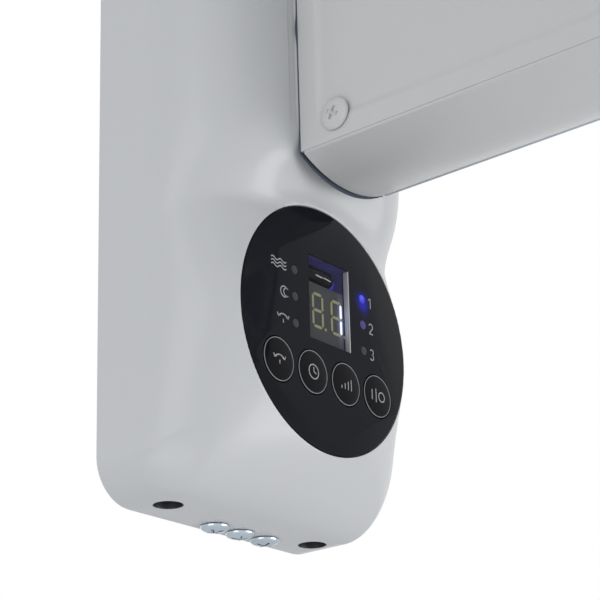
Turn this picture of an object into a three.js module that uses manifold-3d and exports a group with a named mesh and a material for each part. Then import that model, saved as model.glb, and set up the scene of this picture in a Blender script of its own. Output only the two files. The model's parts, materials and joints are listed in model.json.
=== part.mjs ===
// Wall mounted fan: wall housing with control panel, sheet steel arm, tilting and swinging head.
// Millimetres, +Z up, the wall is the plane Y = 0 and the front looks along -Y.
// Heights are counted from the floor of the wall housing; the whole fan is then lowered so that
// the origin lies in the middle of the wall bracket's back face.

import * as THREE from 'three';
import { mergeVertices } from 'three/addons/utils/BufferGeometryUtils.js';
import Module from 'manifold-3d';

const wasm = await Module();
wasm.setup();

// ---------------------------------------------------------------- driving dimensions

const GAP = 0.3; // between pieces that touch
const RUN = 0.5; // between pieces that turn or slide past each other
const SLIVER = 0.01; // edges shorter than this, left by cutting, are closed
const FACETS = { rim: 28, large: 20, medium: 14, small: 8, tiny: 6 }; // sides of round forms

// Wall housing
const housing = {
  halfWidth: 53,
  height: 236,
  cornerRadius: 14,
  wall: 2.2,
  sideDepth: 30, // flat side faces, from the wall to the start of the bulge
  floorDepth: 20, // flat floor, from the wall to the start of the bulge
  topDepth: 22,
  topRounding: 46, // height over which the front rounds back to the top
  armDepth: 56, // front face that carries the arm
  armFaceHalfWidth: 23,
  bulgeFoot: 84, // where the upper body starts to swell out above the panel
  bulgeRise: 28,
  valley: 5, // softness of the valley between lower and upper body
  panelBlend: 14, // width over which the upper body comes down to the panel's edge
};

// Control panel, a round fascia in the lower body
const panel = {
  radius: 40.4,
  height: 56.5, // of its centre
  depth: 48, // of its front face from the wall
  thickness: 2.7,
  ledge: 2.6,
};
const buttons = {
  names: ['osc', 'timer', 'speed', 'on_off'],
  radius: 7.1,
  pitch: 16.3,
  offset: 0.4,
  height: 40.7,
  proud: 1,
  flange: 0.6,
  travel: 0.8,
};
const display = {
  offset: 1.8, // display and lights sit a little right of the panel's centre
  width: 20.4,
  bottom: 52,
  top: 80,
  cornerRadius: 1,
  pane: 1.7, // thickness of the window pane
};
const lights = { column: 17.1, top: 72.4, pitch: 8.85, radius: 1.5, count: 3 };
const board = { halfWidth: 33, bottom: 25, top: 87, thickness: 1.6, depth: 38.6, postRadius: 2.6, hole: 1.2 };

// Floor of the housing
const floorHole = { x: 34.4, depth: 12, radius: 5.1 };
const floorScrew = {
  first: -6.6,
  pitch: 11.9,
  count: 3,
  depth: 6,
  headRadius: 4.7,
  headHeight: 2,
  shank: 1.6,
  length: 9,
};

// Wall bracket and support frame
const bracket = {
  halfWidth: 38,
  bottom: 44,
  top: housing.height - 10,
  thickness: 2,
  cornerRadius: 6,
  keyhole: 3, // half width of the narrow part
  keyholeHead: 5.5,
  keyholeRun: 10,
  keyholeInset: 12, // from the bracket's side edges
  lowKeyhole: 16, // above the bracket's lower edge
  highKeyhole: 20, // below its upper edge
  windowHalfWidth: 14,
  windowBottom: 12,
  windowTop: 34,
};
const frame = { halfWidth: 19, bottom: 113, top: 179, thickness: 2, windowMargin: 15, windowRadius: 5 };
const backTray = { thickness: 2.4, ledgeMargin: 5, ledgeHeight: 11 };

// Electronics beside the support frame, in the hollow of the housing
const powerPlate = { bottom: frame.bottom - 1, height: 84, thickness: 1.8, depth: 8, foot: 4 };
const relay = { heights: [16, 34], halfHeight: 7, depth: 14 };
const coreBlock = { above: 48, height: 24, depth: 20.7, coilReach: 5, coilInset: 2, cornerRadius: 5 };
const can = { above: 7, height: 38, inner: 3, outer: 24, back: 7, front: 24, cornerRadius: 3 };
const terminals = {
  above: 53,
  height: 30,
  inner: 3,
  outer: 25,
  front: 17,
  pocketDepth: 5,
  pockets: [5, 12, 19, 26],
};

// Arm, a bent channel of sheet steel with a curved floor
const arm = {
  halfWidth: 21,
  sheet: 1.2,
  bottom: 108,
  rearTop: 184,
  frontTop: 150,
  rear: 56.4, // distance of its rear edge from the wall
  slopeStart: 92,
  slopeEnd: 138,
  front: 194,
  flange: 13,
  emboss: 0.6,
  embossMargin: 7,
  floorSag: 5.2,
  floorSheet: 1,
  lip: 13,
};
const armScrew = { inset: 14, height: 8.2, headRadius: 5.6, headHeight: 2.8, shank: 2, length: 9 };
const armBolt = { x: 13, inset: 10, radius: 3, headRadius: 5.2, headHeight: 4, length: 12 };
const saddleBolt = { offset: 12, radius: 3, headRadius: 5.2, headHeight: 3.2, length: 8 };

// Tilt joint on the arm's front end
const tilt = {
  depth: arm.front - 22, // of the tilt axis and the swing axis from the wall
  height: 180,
  barrelRadius: 13,
  barrelHalfLength: 15,
  earThickness: 3,
  boltRadius: 4,
  saddleHalfLength: 20,
  boltHead: 5,
  knobRadius: 12,
  knobLobe: 1.6,
  knobLength: 15,
};
// Swing joint between neck and motor
const swing = {
  pinRadius: 5,
  flangeTop: 206,
  flangeRadius: 16,
  flangeThickness: 5,
  sleeveTop: 227,
  sleeveRadius: 13,
  stubRadius: 9,
  stubHeight: 7,
  plateThickness: 4,
  plateHalfWidth: 15,
  crankOffset: 44, // crank shaft behind the swing axis
  crankRadius: 11.6,
  linkOffset: 22, // link pivot beside the swing axis
  linkLength: 47.8,
  linkAngle: 103,
  linkThickness: 2.4,
  linkHalfWidth: 3.2,
  linkPin: 2,
  crankThickness: 3,
  motorRadius: 20,
};
// Motor, its axis runs along Y
const motor = {
  height: 290,
  coverRadius: 54,
  coverWall: 2,
  coverRear: 126,
  coverFront: 212,
  coverRounding: 26,
  shieldThickness: 5,
  bossRadius: 25,
  bossLength: 15,
  statorRadius: 43,
  rotorRadius: 24,
  airGap: 0.6,
  stackRear: 160,
  stackFront: 196,
  windingLength: 8, // of the winding heads beyond the laminated ring
  shaftRadius: 4,
  bearingRadius: 9,
  bearingLength: 8,
};
// Guards and blades
const guard = {
  radius: 217,
  rimWire: 2,
  wire: 1.3,
  wires: 28,
  rimDepth: 276, // where the two guards meet, from the wall
  rimParting: 0.4, // half the space between the two rims
  frontPlane: 330,
  plateRadius: 52,
  midRadius: 135,
  plateThickness: 1.2,
  plateHole: 14,
};
const fanBlade = {
  radius: 200,
  count: 3,
  hubRadius: 40,
  hubWall: 2.5,
  hubRear: 243,
  hubFront: 281,
  thickness: 2.4,
  rootPitch: 38,
  tipPitch: 19,
  sweep: 16,
};
const guardNut = { radius: 38, length: 9 };
const spinner = { radius: 17, length: 22 };
const rimBand = { wall: 1.6, reach: 2.2, ear: 9, earThickness: 3, split: 3 };

// ---------------------------------------------------------------- materials

function finish(color, roughness, metalness = 0) {
  return new THREE.MeshStandardMaterial({ color, roughness, metalness });
}
const whitePlastic = finish(0xe4e4e0, 0.42);
const whitePaint = finish(0xe6e7e6, 0.35, 0.1);
const glossBlack = finish(0x0b0b0c, 0.08);
const smokedLens = finish(0x24282c, 0.05);
const greyPlastic = finish(0x777a7c, 0.6);
const blackPlastic = finish(0x1a1b1c, 0.55);
const clearPlastic = finish(0xdfe6ea, 0.2);
const zinc = finish(0xb9bcc0, 0.35, 0.9);
const steel = finish(0xa8abae, 0.4, 0.9);
const aluminium = finish(0xb4b6b8, 0.5, 0.9);
const copper = finish(0x9a5a32, 0.45, 0.6);
const greenBoard = finish(0x2c6a3c, 0.6);
const bluePlastic = finish(0x9fc3d6, 0.25);

// ---------------------------------------------------------------- solid helpers

// A three.js geometry as a solid that can be cut and joined
function solid(geometry) {
  const bare = geometry.index ? geometry.toNonIndexed() : geometry.clone();
  for (const name of Object.keys(bare.attributes)) {
    if (name !== 'position') bare.deleteAttribute(name);
  }
  const merged = mergeVertices(bare, 1e-4);
  const mesh = new wasm.Mesh({
    numProp: 3,
    vertProperties: new Float32Array(merged.attributes.position.array),
    triVerts: new Uint32Array(merged.index.array),
  });
  return new wasm.Manifold(mesh);
}

const join = (...solids) => solids.flat().reduce((sum, one) => sum.add(one));
const cut = (body, ...tools) => tools.flat().reduce((rest, tool) => rest.subtract(tool), body);

// A node of the fan from a finished solid
function piece(name, body, material) {
  const mesh = body.simplify(SLIVER).getMesh();
  const geometry = new THREE.BufferGeometry();
  geometry.setAttribute('position', new THREE.BufferAttribute(new Float32Array(mesh.vertProperties), 3));
  geometry.setIndex(new THREE.BufferAttribute(new Uint32Array(mesh.triVerts), 1));
  geometry.computeVertexNormals();
  const node = new THREE.Mesh(geometry, material);
  node.name = name;
  return node;
}

// Box between two corners
function box(x0, x1, y0, y1, z0, z1) {
  const geometry = new THREE.BoxGeometry(x1 - x0, y1 - y0, z1 - z0);
  geometry.translate((x0 + x1) / 2, (y0 + y1) / 2, (z0 + z1) / 2);
  return solid(geometry);
}

// Box on one side of the middle plane, between two distances from it
function sideBox(side, near, far, y0, y1, z0, z1) {
  const [x0, x1] = side < 0 ? [-far, -near] : [near, far];
  return box(x0, x1, y0, y1, z0, z1);
}

// Round rod along an axis: from and to are places on that axis, at holds the other two coordinates
function rod(axis, radius, from, to, at, sides = FACETS.small, endRadius = radius) {
  const geometry = new THREE.CylinderGeometry(endRadius, radius, Math.abs(to - from), sides);
  const middle = (from + to) / 2;
  if (to < from) geometry.rotateX(Math.PI);
  if (axis === 'x') {
    geometry.rotateZ(-Math.PI / 2);
    geometry.translate(middle, at[0], at[1]);
  } else if (axis === 'y') {
    geometry.translate(at[0], middle, at[1]);
  } else {
    geometry.rotateX(Math.PI / 2);
    geometry.translate(at[0], at[1], middle);
  }
  return solid(geometry);
}

// Turned solid about an axis along Y through (x, z); profile points are [radius, y]
function turned(profile, x, z, sides = FACETS.medium) {
  const points = profile.map(([radius, y]) => new THREE.Vector2(radius, y));
  const first = profile[0];
  const last = profile[profile.length - 1];
  if (first[0] > 0 || last[0] > 0) points.push(points[0].clone());
  const geometry = new THREE.LatheGeometry(points, sides);
  geometry.translate(x, 0, z);
  return outward(geometry);
}

// Turned solid about an upright axis through (x, y); profile points are [radius, z]
function turnedUpright(profile, x, y, sides = FACETS.small) {
  const points = profile.map(([radius, z]) => new THREE.Vector2(radius, z));
  if (profile[0][0] > 0) points.push(points[0].clone());
  const geometry = new THREE.LatheGeometry(points, sides);
  geometry.rotateX(Math.PI / 2);
  geometry.translate(x, y, 0);
  return outward(geometry);
}

// Signed volume tells which way the faces look; faces that look inward are turned round
function outward(geometry) {
  const flat = geometry.index ? geometry.toNonIndexed() : geometry;
  const p = flat.attributes.position;
  const [a, b, c] = [new THREE.Vector3(), new THREE.Vector3(), new THREE.Vector3()];
  let volume = 0;
  for (let i = 0; i < p.count; i += 3) {
    a.fromBufferAttribute(p, i);
    b.fromBufferAttribute(p, i + 1);
    c.fromBufferAttribute(p, i + 2);
    volume += a.dot(b.cross(c));
  }
  if (volume < 0) {
    for (let i = 0; i < p.count; i += 3) {
      b.fromBufferAttribute(p, i + 1);
      c.fromBufferAttribute(p, i + 2);
      p.setXYZ(i + 1, c.x, c.y, c.z);
      p.setXYZ(i + 2, b.x, b.y, b.z);
    }
  }
  flat.deleteAttribute('normal');
  flat.deleteAttribute('uv');
  return solid(flat);
}

// Radius of a flat sided hole that still clears a turning bar of the given radius
const clearOf = (radius, sides = FACETS.small) => radius / Math.cos(Math.PI / sides);

// Outline extruded along an axis. Outlines for x hold (y, z), for y hold (x, z), for z hold (x, y)
function prism(axis, outline, from, to, curveSegments = 2) {
  const drawn = outline instanceof THREE.Shape;
  const shape = drawn ? outline : new THREE.Shape(outline.map(([a, b]) => new THREE.Vector2(a, b)));
  const geometry = new THREE.ExtrudeGeometry(shape, { depth: to - from, bevelEnabled: false, curveSegments });
  geometry.translate(0, 0, from);
  const turn = new THREE.Matrix4();
  if (axis === 'x') turn.set(0, 0, 1, 0, 1, 0, 0, 0, 0, 1, 0, 0, 0, 0, 0, 1);
  if (axis === 'y') turn.set(1, 0, 0, 0, 0, 0, 1, 0, 0, 1, 0, 0, 0, 0, 0, 1);
  geometry.applyMatrix4(turn);
  return outward(geometry);
}

// Rectangle with round corners as a shape
function roundedRectangle(x0, x1, y0, y1, radius) {
  const shape = new THREE.Shape();
  shape.absarc(x1 - radius, y0 + radius, radius, -Math.PI / 2, 0);
  shape.absarc(x1 - radius, y1 - radius, radius, 0, Math.PI / 2);
  shape.absarc(x0 + radius, y1 - radius, radius, Math.PI / 2, Math.PI);
  shape.absarc(x0 + radius, y0 + radius, radius, Math.PI, Math.PI * 1.5);
  shape.closePath();
  return shape;
}

// Skin through rings of points (arrays of Vector3, all the same length), closed at both ends. Each
// field is split along its shorter diagonal, so that the two sides of a thin form run side by side.
function loft(rings) {
  const count = rings[0].length;
  const positions = rings.flat();
  const middle = (ring) => ring.reduce((sum, p) => sum.add(p), new THREE.Vector3()).divideScalar(count);
  positions.push(middle(rings[0]), middle(rings[rings.length - 1]));
  const index = [];
  for (let i = 0; i + 1 < rings.length; i += 1) {
    for (let j = 0; j < count; j += 1) {
      const next = (j + 1) % count;
      const [a, b] = [i * count + j, i * count + next];
      const [c, d] = [b + count, a + count];
      if (positions[a].distanceTo(positions[c]) <= positions[b].distanceTo(positions[d])) {
        index.push(a, b, c, a, c, d);
      } else {
        index.push(a, b, d, b, c, d);
      }
    }
  }
  const last = (rings.length - 1) * count;
  for (let j = 0; j < count; j += 1) {
    const next = (j + 1) % count;
    index.push(positions.length - 2, next, j);
    index.push(positions.length - 1, last + j, last + next);
  }
  const geometry = new THREE.BufferGeometry().setFromPoints(positions);
  geometry.setIndex(index);
  return outward(geometry);
}

// Copies of a solid turned about the motor's axis
function aroundMotorAxis(body, count, start = 0) {
  return Array.from({ length: count }, (_, i) => body
    .translate([0, 0, -motor.height])
    .rotate([0, start + (360 * i) / count, 0])
    .translate([0, 0, motor.height]));
}

// ---------------------------------------------------------------- wall housing

const clamp01 = (t) => Math.min(Math.max(t, 0), 1);
const smoothStep = (t) => clamp01(t) ** 2 * (3 - 2 * clamp01(t));
const mix = (a, b, t) => a + (b - a) * t;
const quarterRound = (t) => Math.sqrt(Math.max(1 - clamp01(t) ** 2, 0));

// Larger of two depths with a soft valley between them
function softMax(a, b, softness) {
  const h = Math.max(softness - Math.abs(a - b), 0) / softness;
  return Math.max(a, b) + (h * h * softness) / 4;
}

// Half the housing's width at a height, with its round corners
function halfWidthAt(z, inset) {
  const { halfWidth, cornerRadius, height } = housing;
  const radius = cornerRadius - inset;
  const toEnd = Math.min(z - inset, height - inset - z);
  const missing = toEnd < radius ? radius - Math.sqrt(Math.max(radius ** 2 - (radius - toEnd) ** 2, 0)) : 0;
  return halfWidth - inset - missing;
}

// Depth of the lower body: a flat round seat for the panel that rolls off to the sides and the floor
function lowerDepth(x, z) {
  const rollStart = 0.42;
  const squareness = 9;
  const up = z - panel.height;
  const distance = Math.hypot(x, up);
  if (distance <= panel.radius) return panel.depth;
  const side = Math.abs(x) / distance / housing.halfWidth;
  const upright = Math.abs(up) / distance / panel.height;
  const edge = (side ** squareness + upright ** squareness) ** (-1 / squareness);
  const t = clamp01((distance - panel.radius) / (edge - panel.radius));
  const edgeDepth = mix(housing.floorDepth, housing.sideDepth, smoothStep(z / 45));
  const roll = quarterRound(mix(rollStart, 1, t)) / quarterRound(rollStart);
  return mix(edgeDepth, panel.depth, roll);
}

// Depth of the upper body: an arch from side to side with a flat face for the arm
function upperDepth(x, z) {
  if (z < housing.bulgeFoot) return 0;
  const across = (Math.abs(x) - housing.armFaceHalfWidth) / (housing.halfWidth - housing.armFaceHalfWidth);
  const rise = quarterRound(1 - clamp01((z - housing.bulgeFoot) / housing.bulgeRise));
  return mix(housing.sideDepth, housing.armDepth, quarterRound(across) * rise);
}

function housingDepth(x, z) {
  const swelling = softMax(lowerDepth(x, z), upperDepth(x, z), housing.valley);
  const fromPanel = Math.hypot(x, z - panel.height) - panel.radius;
  const aroundPanel = smoothStep(fromPanel / housing.panelBlend);
  const front = Math.min(swelling, mix(panel.depth, swelling, aroundPanel));
  const towardTop = (z - (housing.height - housing.topRounding)) / housing.topRounding;
  return mix(housing.topDepth, front, quarterRound(towardTop));
}

// The housing's form, or its hollow when inset by the wall, as rings at rising heights
function housingForm(inset, across, rows, back) {
  const rings = [];
  for (let i = 0; i <= rows; i += 1) {
    const t = mix(i / rows, (1 - Math.cos((Math.PI * i) / rows)) / 2, 0.75);
    const z = mix(inset, housing.height - inset, t);
    const outerZ = housing.height * t;
    const w = Math.max(halfWidthAt(z, inset), 1);
    const ring = [new THREE.Vector3(w, back, z), new THREE.Vector3(-w, back, z)];
    for (let j = 0; j <= across; j += 1) {
      const x = w * Math.sin((Math.PI / 2) * (-1 + (2 * j) / across));
      const outerX = (x * (w + inset)) / w;
      ring.push(new THREE.Vector3(x, inset - housingDepth(outerX, outerZ), z));
    }
    rings.push(ring);
  }
  return loft(rings);
}

const armOpening = { halfWidth: frame.halfWidth + 1, bottom: frame.bottom - 1, top: frame.top + 1 };

function housingShell() {
  const shell = cut(housingForm(0, 18, 24, 0), housingForm(housing.wall, 8, 12, 5));
  const seatBack = panel.depth - panel.thickness - GAP;
  const outer = panel.radius + 2.5;
  const ledge = turned([
    [panel.radius - panel.ledge, -seatBack], [outer, -seatBack],
    [outer, -seatBack + 3], [panel.radius - panel.ledge, -seatBack + 3],
  ], 0, panel.height, FACETS.rim);
  const recess = rod('y', panel.radius + GAP, -seatBack, -seatBack - 12, [0, panel.height], FACETS.rim);
  const through = rod('y', panel.radius - panel.ledge, -seatBack + 9, -seatBack - 12,
    [0, panel.height], FACETS.rim);
  const opening = box(-armOpening.halfWidth, armOpening.halfWidth, -housing.armDepth - 5,
    -housing.armDepth + 12, armOpening.bottom, armOpening.top);
  const holes = [-1, 1].map((side) => rod('z', floorHole.radius, -5, 8,
    [side * floorHole.x, -floorHole.depth]));
  const screwHoles = floorScrewPlaces.map((x) => rod('z', floorScrew.shank + GAP, -5, 8,
    [x, -floorScrew.depth]));
  return cut(join(shell, ledge), recess, through, opening, holes, screwHoles);
}

const floorScrewPlaces = Array.from({ length: floorScrew.count },
  (_, i) => floorScrew.first + i * floorScrew.pitch);

// Cross recess screw with a domed head; it points from its head seat along +Z and is turned by the caller
function domedScrew(headRadius, headHeight, shank, length) {
  const dome = [
    [0, -headHeight], [headRadius * 0.6, -headHeight * 0.8], [headRadius, 0],
    [shank, 0], [shank, length], [0, length],
  ];
  const reach = headRadius * 0.55;
  const slot = 0.5;
  const deep = -headHeight * 0.45;
  const cross = [
    box(-reach, reach, -slot, slot, -headHeight - 1, deep),
    box(-slot, slot, -reach, reach, -headHeight - 1, deep),
  ];
  return cut(turnedUpright(dome, 0, 0), cross);
}

function hexBolt(headRadius, headHeight, shank, length) {
  const head = rod('z', headRadius, -headHeight, 0, [0, 0], 6);
  return join(head, rod('z', shank, -0.5, length, [0, 0], FACETS.tiny));
}

// Two digit places, six lights and four buttons look through the fascia
const lightPlaces = [];
for (const side of [-1, 1]) {
  for (let i = 0; i < lights.count; i += 1) {
    lightPlaces.push([side, display.offset + side * lights.column, lights.top - i * lights.pitch]);
  }
}
const buttonPlaces = buttons.names.map((name, i) => [name, buttons.offset + (i - 1.5) * buttons.pitch]);
const fasciaBack = panel.depth - panel.thickness;

// The board is screwed to four posts behind the fascia, two between the buttons and two above
const boardPosts = [-1, 1].flatMap((side) => [
  [buttons.offset + side * buttons.pitch, buttons.height - 10.7],
  [side * 26, board.top - 9],
]);

function controlPanel() {
  const edge = 0.5;
  const disc = turned([
    [0, -panel.depth], [panel.radius - edge, -panel.depth], [panel.radius, -panel.depth + edge],
    [panel.radius, -fasciaBack], [0, -fasciaBack],
  ], 0, panel.height, FACETS.rim);
  const window = prism('y', displayOutline(0), -panel.depth - 1, -fasciaBack + 1);
  const buttonHoles = buttonPlaces.map(([, x]) => rod('y', buttons.radius + GAP, -fasciaBack + 1,
    -panel.depth - 1, [x, buttons.height], FACETS.medium));
  const lightHoles = lightPlaces.map(([, x, z]) => rod('y', lights.radius + GAP / 2, -fasciaBack + 1,
    -panel.depth - 1, [x, z], FACETS.tiny));
  const posts = boardPosts.map((at) => rod('y', board.postRadius, -fasciaBack - 0.5, -board.depth - GAP, at));
  return join(cut(disc, window, buttonHoles, lightHoles), posts);
}

function displayOutline(inset) {
  const { offset, width, bottom, top, cornerRadius } = display;
  return roundedRectangle(offset - width / 2 + inset, offset + width / 2 - inset, bottom + inset, top - inset,
    cornerRadius);
}

function displayWindow() {
  return prism('y', displayOutline(GAP), -panel.depth, -panel.depth + display.pane);
}

// The digit block stands in the fascia's opening, just behind the pane
const digitBlock = {
  bottom: display.bottom + 0.8,
  top: display.bottom + 0.72 * (display.top - display.bottom),
  halfWidth: display.width / 2 - 2 * GAP,
  front: panel.depth - display.pane - GAP,
};

function displayModule() {
  return box(display.offset - digitBlock.halfWidth, display.offset + digitBlock.halfWidth,
    -digitBlock.front, -board.depth - GAP, digitBlock.bottom, digitBlock.top);
}

// Receiver eye above the digits: a lying round body with a sloping end, on a foot that reaches the board
function receiver() {
  const radius = (display.top - digitBlock.top - 2 * GAP) * 0.4;
  const height = (digitBlock.top + display.top) / 2;
  const centre = digitBlock.front - radius;
  const [left, right] = [display.offset - display.width / 2 + 2, display.offset + 2];
  const body = rod('x', radius, left, right, [-centre, height], FACETS.small);
  const end = rod('x', radius, right - 0.1, right + radius, [-centre, height], FACETS.small, radius * 0.45);
  const footHalf = radius * 0.7;
  const foot = box(left + 1, right - 1, -centre, -board.depth - GAP, height - footHalf, height + footHalf);
  return join(body, end, foot);
}

// A clear strip behind the fascia with a peg for each light
function lightGuide(side) {
  const [x, half] = [display.offset + side * lights.column, 2.4];
  const bottom = lights.top - (lights.count - 1) * lights.pitch - half;
  const front = -fasciaBack + GAP;
  const strip = box(x - half, x + half, front, front + 1.6, bottom, lights.top + half);
  const own = lightPlaces.filter(([place]) => place === side);
  const pegs = own.map(([, px, z]) => rod('y', lights.radius - GAP / 2, front + 0.8, -panel.depth,
    [px, z], FACETS.tiny));
  return join(strip, pegs);
}

const switchTop = board.depth + 3.4;

function pushButton(x) {
  const [r, front] = [buttons.radius, panel.depth + buttons.proud];
  const flangeFront = fasciaBack - GAP;
  const stemEnd = switchTop + GAP + buttons.travel;
  const dish = 0.35;
  return turned([
    [0, -front + dish], [r * 0.78, -front + dish], [r - 0.5, -front], [r, -front + 0.4],
    [r, -flangeFront], [r + buttons.flange, -flangeFront], [r + buttons.flange, -flangeFront + 1],
    [2.2, -flangeFront + 1], [2.2, -stemEnd], [0, -stemEnd],
  ], x, buttons.height, FACETS.medium);
}

// The board carries one square push switch behind each button
function controlBoard() {
  const back = -board.depth + board.thickness;
  const plate = prism('y', roundedRectangle(-board.halfWidth, board.halfWidth, board.bottom, board.top, 6),
    -board.depth, back);
  const switches = buttonPlaces.flatMap(([, x]) => [
    box(x - 3, x + 3, -board.depth - 2.6, -board.depth + 0.5, buttons.height - 3, buttons.height + 3),
    rod('y', 1.7, -board.depth - 1, -switchTop, [x, buttons.height], FACETS.tiny),
  ]);
  const holes = boardPosts.map((at) => rod('y', board.hole, back + 1, -board.depth - 1, at, FACETS.tiny));
  return cut(join(plate, switches), holes);
}

// ---------------------------------------------------------------- behind the housing

const trayFront = backTray.thickness;
const bracketFront = bracket.thickness;

function wallBracket() {
  const { halfWidth, bottom, top, cornerRadius, keyhole, keyholeRun, windowHalfWidth } = bracket;
  const outline = roundedRectangle(-halfWidth, halfWidth, bottom, top, cornerRadius);
  const plate = prism('y', outline, -bracketFront, 0);
  const heights = [bottom + bracket.lowKeyhole, top - bracket.highKeyhole];
  const keyholes = [-1, 1].flatMap((side) => heights.map((z) => {
    const x = side * (halfWidth - bracket.keyholeInset);
    const slot = box(x - keyhole, x + keyhole, -5, 5, z, z + keyholeRun);
    return join(slot, rod('y', keyhole, -5, 5, [x, z + keyholeRun], FACETS.tiny),
      rod('y', bracket.keyholeHead, -5, 5, [x, z]));
  }));
  const cableWindow = prism('y', roundedRectangle(-windowHalfWidth, windowHalfWidth,
    bottom + bracket.windowBottom, bottom + bracket.windowTop, cornerRadius - 1), -5, 5);
  return cut(plate, keyholes, cableWindow);
}

// Shallow plastic tray that closes the housing round the wall bracket, with a ledge for the floor screws
function housingBack() {
  const fit = housing.wall + 2 * GAP;
  const half = housing.halfWidth - fit;
  const outline = roundedRectangle(-half, half, fit, housing.height - fit, housing.cornerRadius + 4);
  const plate = prism('y', outline, -trayFront, 0, 4);
  const opening = prism('y', roundedRectangle(-bracket.halfWidth - GAP, bracket.halfWidth + GAP,
    bracket.bottom - GAP, bracket.top + GAP, bracket.cornerRadius), -9, 9, 3);
  const last = floorScrewPlaces[floorScrew.count - 1];
  const { ledgeMargin, ledgeHeight } = backTray;
  const ledge = box(floorScrew.first - ledgeMargin, last + ledgeMargin, -floorScrew.depth * 2, -1,
    fit, fit + ledgeHeight);
  const holes = floorScrewPlaces.map((x) => rod('z', floorScrew.shank + GAP, 0, fit + floorScrew.length,
    [x, -floorScrew.depth]));
  return cut(join(cut(plate, opening), ledge), holes);
}

const frameBack = bracketFront + GAP;
const frameFront = arm.rear - GAP;

// Rectangular steel tube on end that carries the arm's load back to the wall bracket
function supportFrame() {
  const { halfWidth: w, thickness: t, bottom, top } = frame;
  const tube = cut(box(-w, w, -frameFront, -frameBack, bottom, top),
    box(-w + t, w - t, -frameFront + t, -frameBack - t, bottom - 1, top + 1));
  const middle = (frameFront + frameBack) / 2;
  const half = (frameFront - frameBack) / 2 - frame.windowMargin;
  const window = prism('x', roundedRectangle(-middle - half, -middle + half, bottom + frame.windowMargin,
    top - frame.windowMargin, frame.windowRadius), -w - 1, w + 1);
  const holes = armBoltPlaces.map(([x, z]) => rod('y', armBolt.radius + 2 * GAP,
    -frameFront + t + 1, -frameFront - 1, [x, z], FACETS.tiny));
  const centre = (bottom + top) / 2;
  const cablePass = prism('y', roundedRectangle(-6, 6, centre - 10, centre + 10, 5),
    -frameFront - 1, -frameFront + t + 1);
  return cut(tube, window, holes, cablePass);
}

const armBoltPlaces = [-1, 1].flatMap((side) => [frame.bottom + armBolt.inset, frame.top - armBolt.inset]
  .map((z) => [side * armBolt.x, z]));

// The power electronics stand on both sides of the support frame
const beside = frame.halfWidth + 1.5;
const outerEdge = housing.halfWidth - 6;
const onTray = trayFront + GAP + 0.1;

function powerBoard() {
  const { bottom, height, thickness, depth, foot } = powerPlate;
  const plate = box(-outerEdge, -beside, -depth, -depth + thickness, bottom, bottom + height);
  const relays = relay.heights.map((up) => box(-outerEdge + 3, -beside - 7.5,
    -depth - relay.depth, -depth + 0.5, bottom + up - relay.halfHeight, bottom + up + relay.halfHeight));
  const feet = [foot, height - 2 * foot].map((up) => box(-outerEdge + 2, -outerEdge + 13,
    -depth + thickness - 0.3, -onTray, bottom + up, bottom + up + foot));
  return join(plate, relays, feet);
}

function transformer() {
  const { height, depth, coilReach, coilInset, cornerRadius } = coreBlock;
  const [bottom, back] = [powerPlate.bottom + coreBlock.above, powerPlate.depth + GAP];
  const core = box(-outerEdge + 2, -beside - 2.5, -back - depth, -back, bottom, bottom + height);
  const coil = prism('x', roundedRectangle(-back - depth + coilInset, -back - coilInset, bottom - coilReach,
    bottom + height + coilReach, cornerRadius), -outerEdge + 7, -beside - 7.5, 3);
  return join(core, coil);
}

function motorCapacitor() {
  const bottom = frame.bottom + can.above;
  const body = prism('z', roundedRectangle(beside + can.inner, beside + can.outer, -can.front, -can.back,
    can.cornerRadius), bottom, bottom + can.height, 3);
  const foot = box(beside + 2 * can.inner, beside + can.outer - 4, -can.back - 1, -onTray,
    bottom + 6, bottom + 12);
  return join(body, foot);
}

function terminalBlock() {
  const { inner, outer, front, height, pocketDepth, pockets } = terminals;
  const bottom = frame.bottom + terminals.above;
  const body = box(beside + inner, beside + outer, -front, -onTray, bottom, bottom + height);
  const cuts = pockets.map((up) => box(beside + inner + 2, beside + outer - 2,
    -front - 3, -front + pocketDepth, bottom + up - 2, bottom + up + 2));
  return cut(body, cuts);
}

// ---------------------------------------------------------------- arm

// Side outline of the arm in (y, z), inset at the top and front; it reaches out of the open rear and floor
function armOutline(inset, reach) {
  const { bottom, rearTop, frontTop, rear, slopeStart, slopeEnd, front } = arm;
  return [
    [-rear + reach, bottom - reach], [-front + inset, bottom - reach],
    [-front + inset, frontTop - inset], [-slopeEnd, frontTop - inset], [-slopeStart, rearTop - inset],
    [-rear + reach, rearTop - inset],
  ];
}

// The pressed field follows the side outline at an even margin
function armField(margin) {
  const { bottom, rearTop, frontTop, rear, slopeStart, slopeEnd, front } = arm;
  const shape = new THREE.Shape();
  shape.moveTo(-rear - margin, bottom + margin);
  shape.lineTo(-rear - margin, rearTop - margin);
  shape.lineTo(-slopeStart + 1, rearTop - margin);
  shape.lineTo(-slopeEnd + 1, frontTop - margin);
  shape.lineTo(-front + margin, frontTop - margin);
  shape.lineTo(-front + margin, bottom + margin);
  shape.closePath();
  return shape;
}

const armScrewPlaces = [arm.rear + armScrew.inset, arm.front - armScrew.inset];
const saddleBoltPlaces = [tilt.depth - saddleBolt.offset, tilt.depth + saddleBolt.offset];

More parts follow.
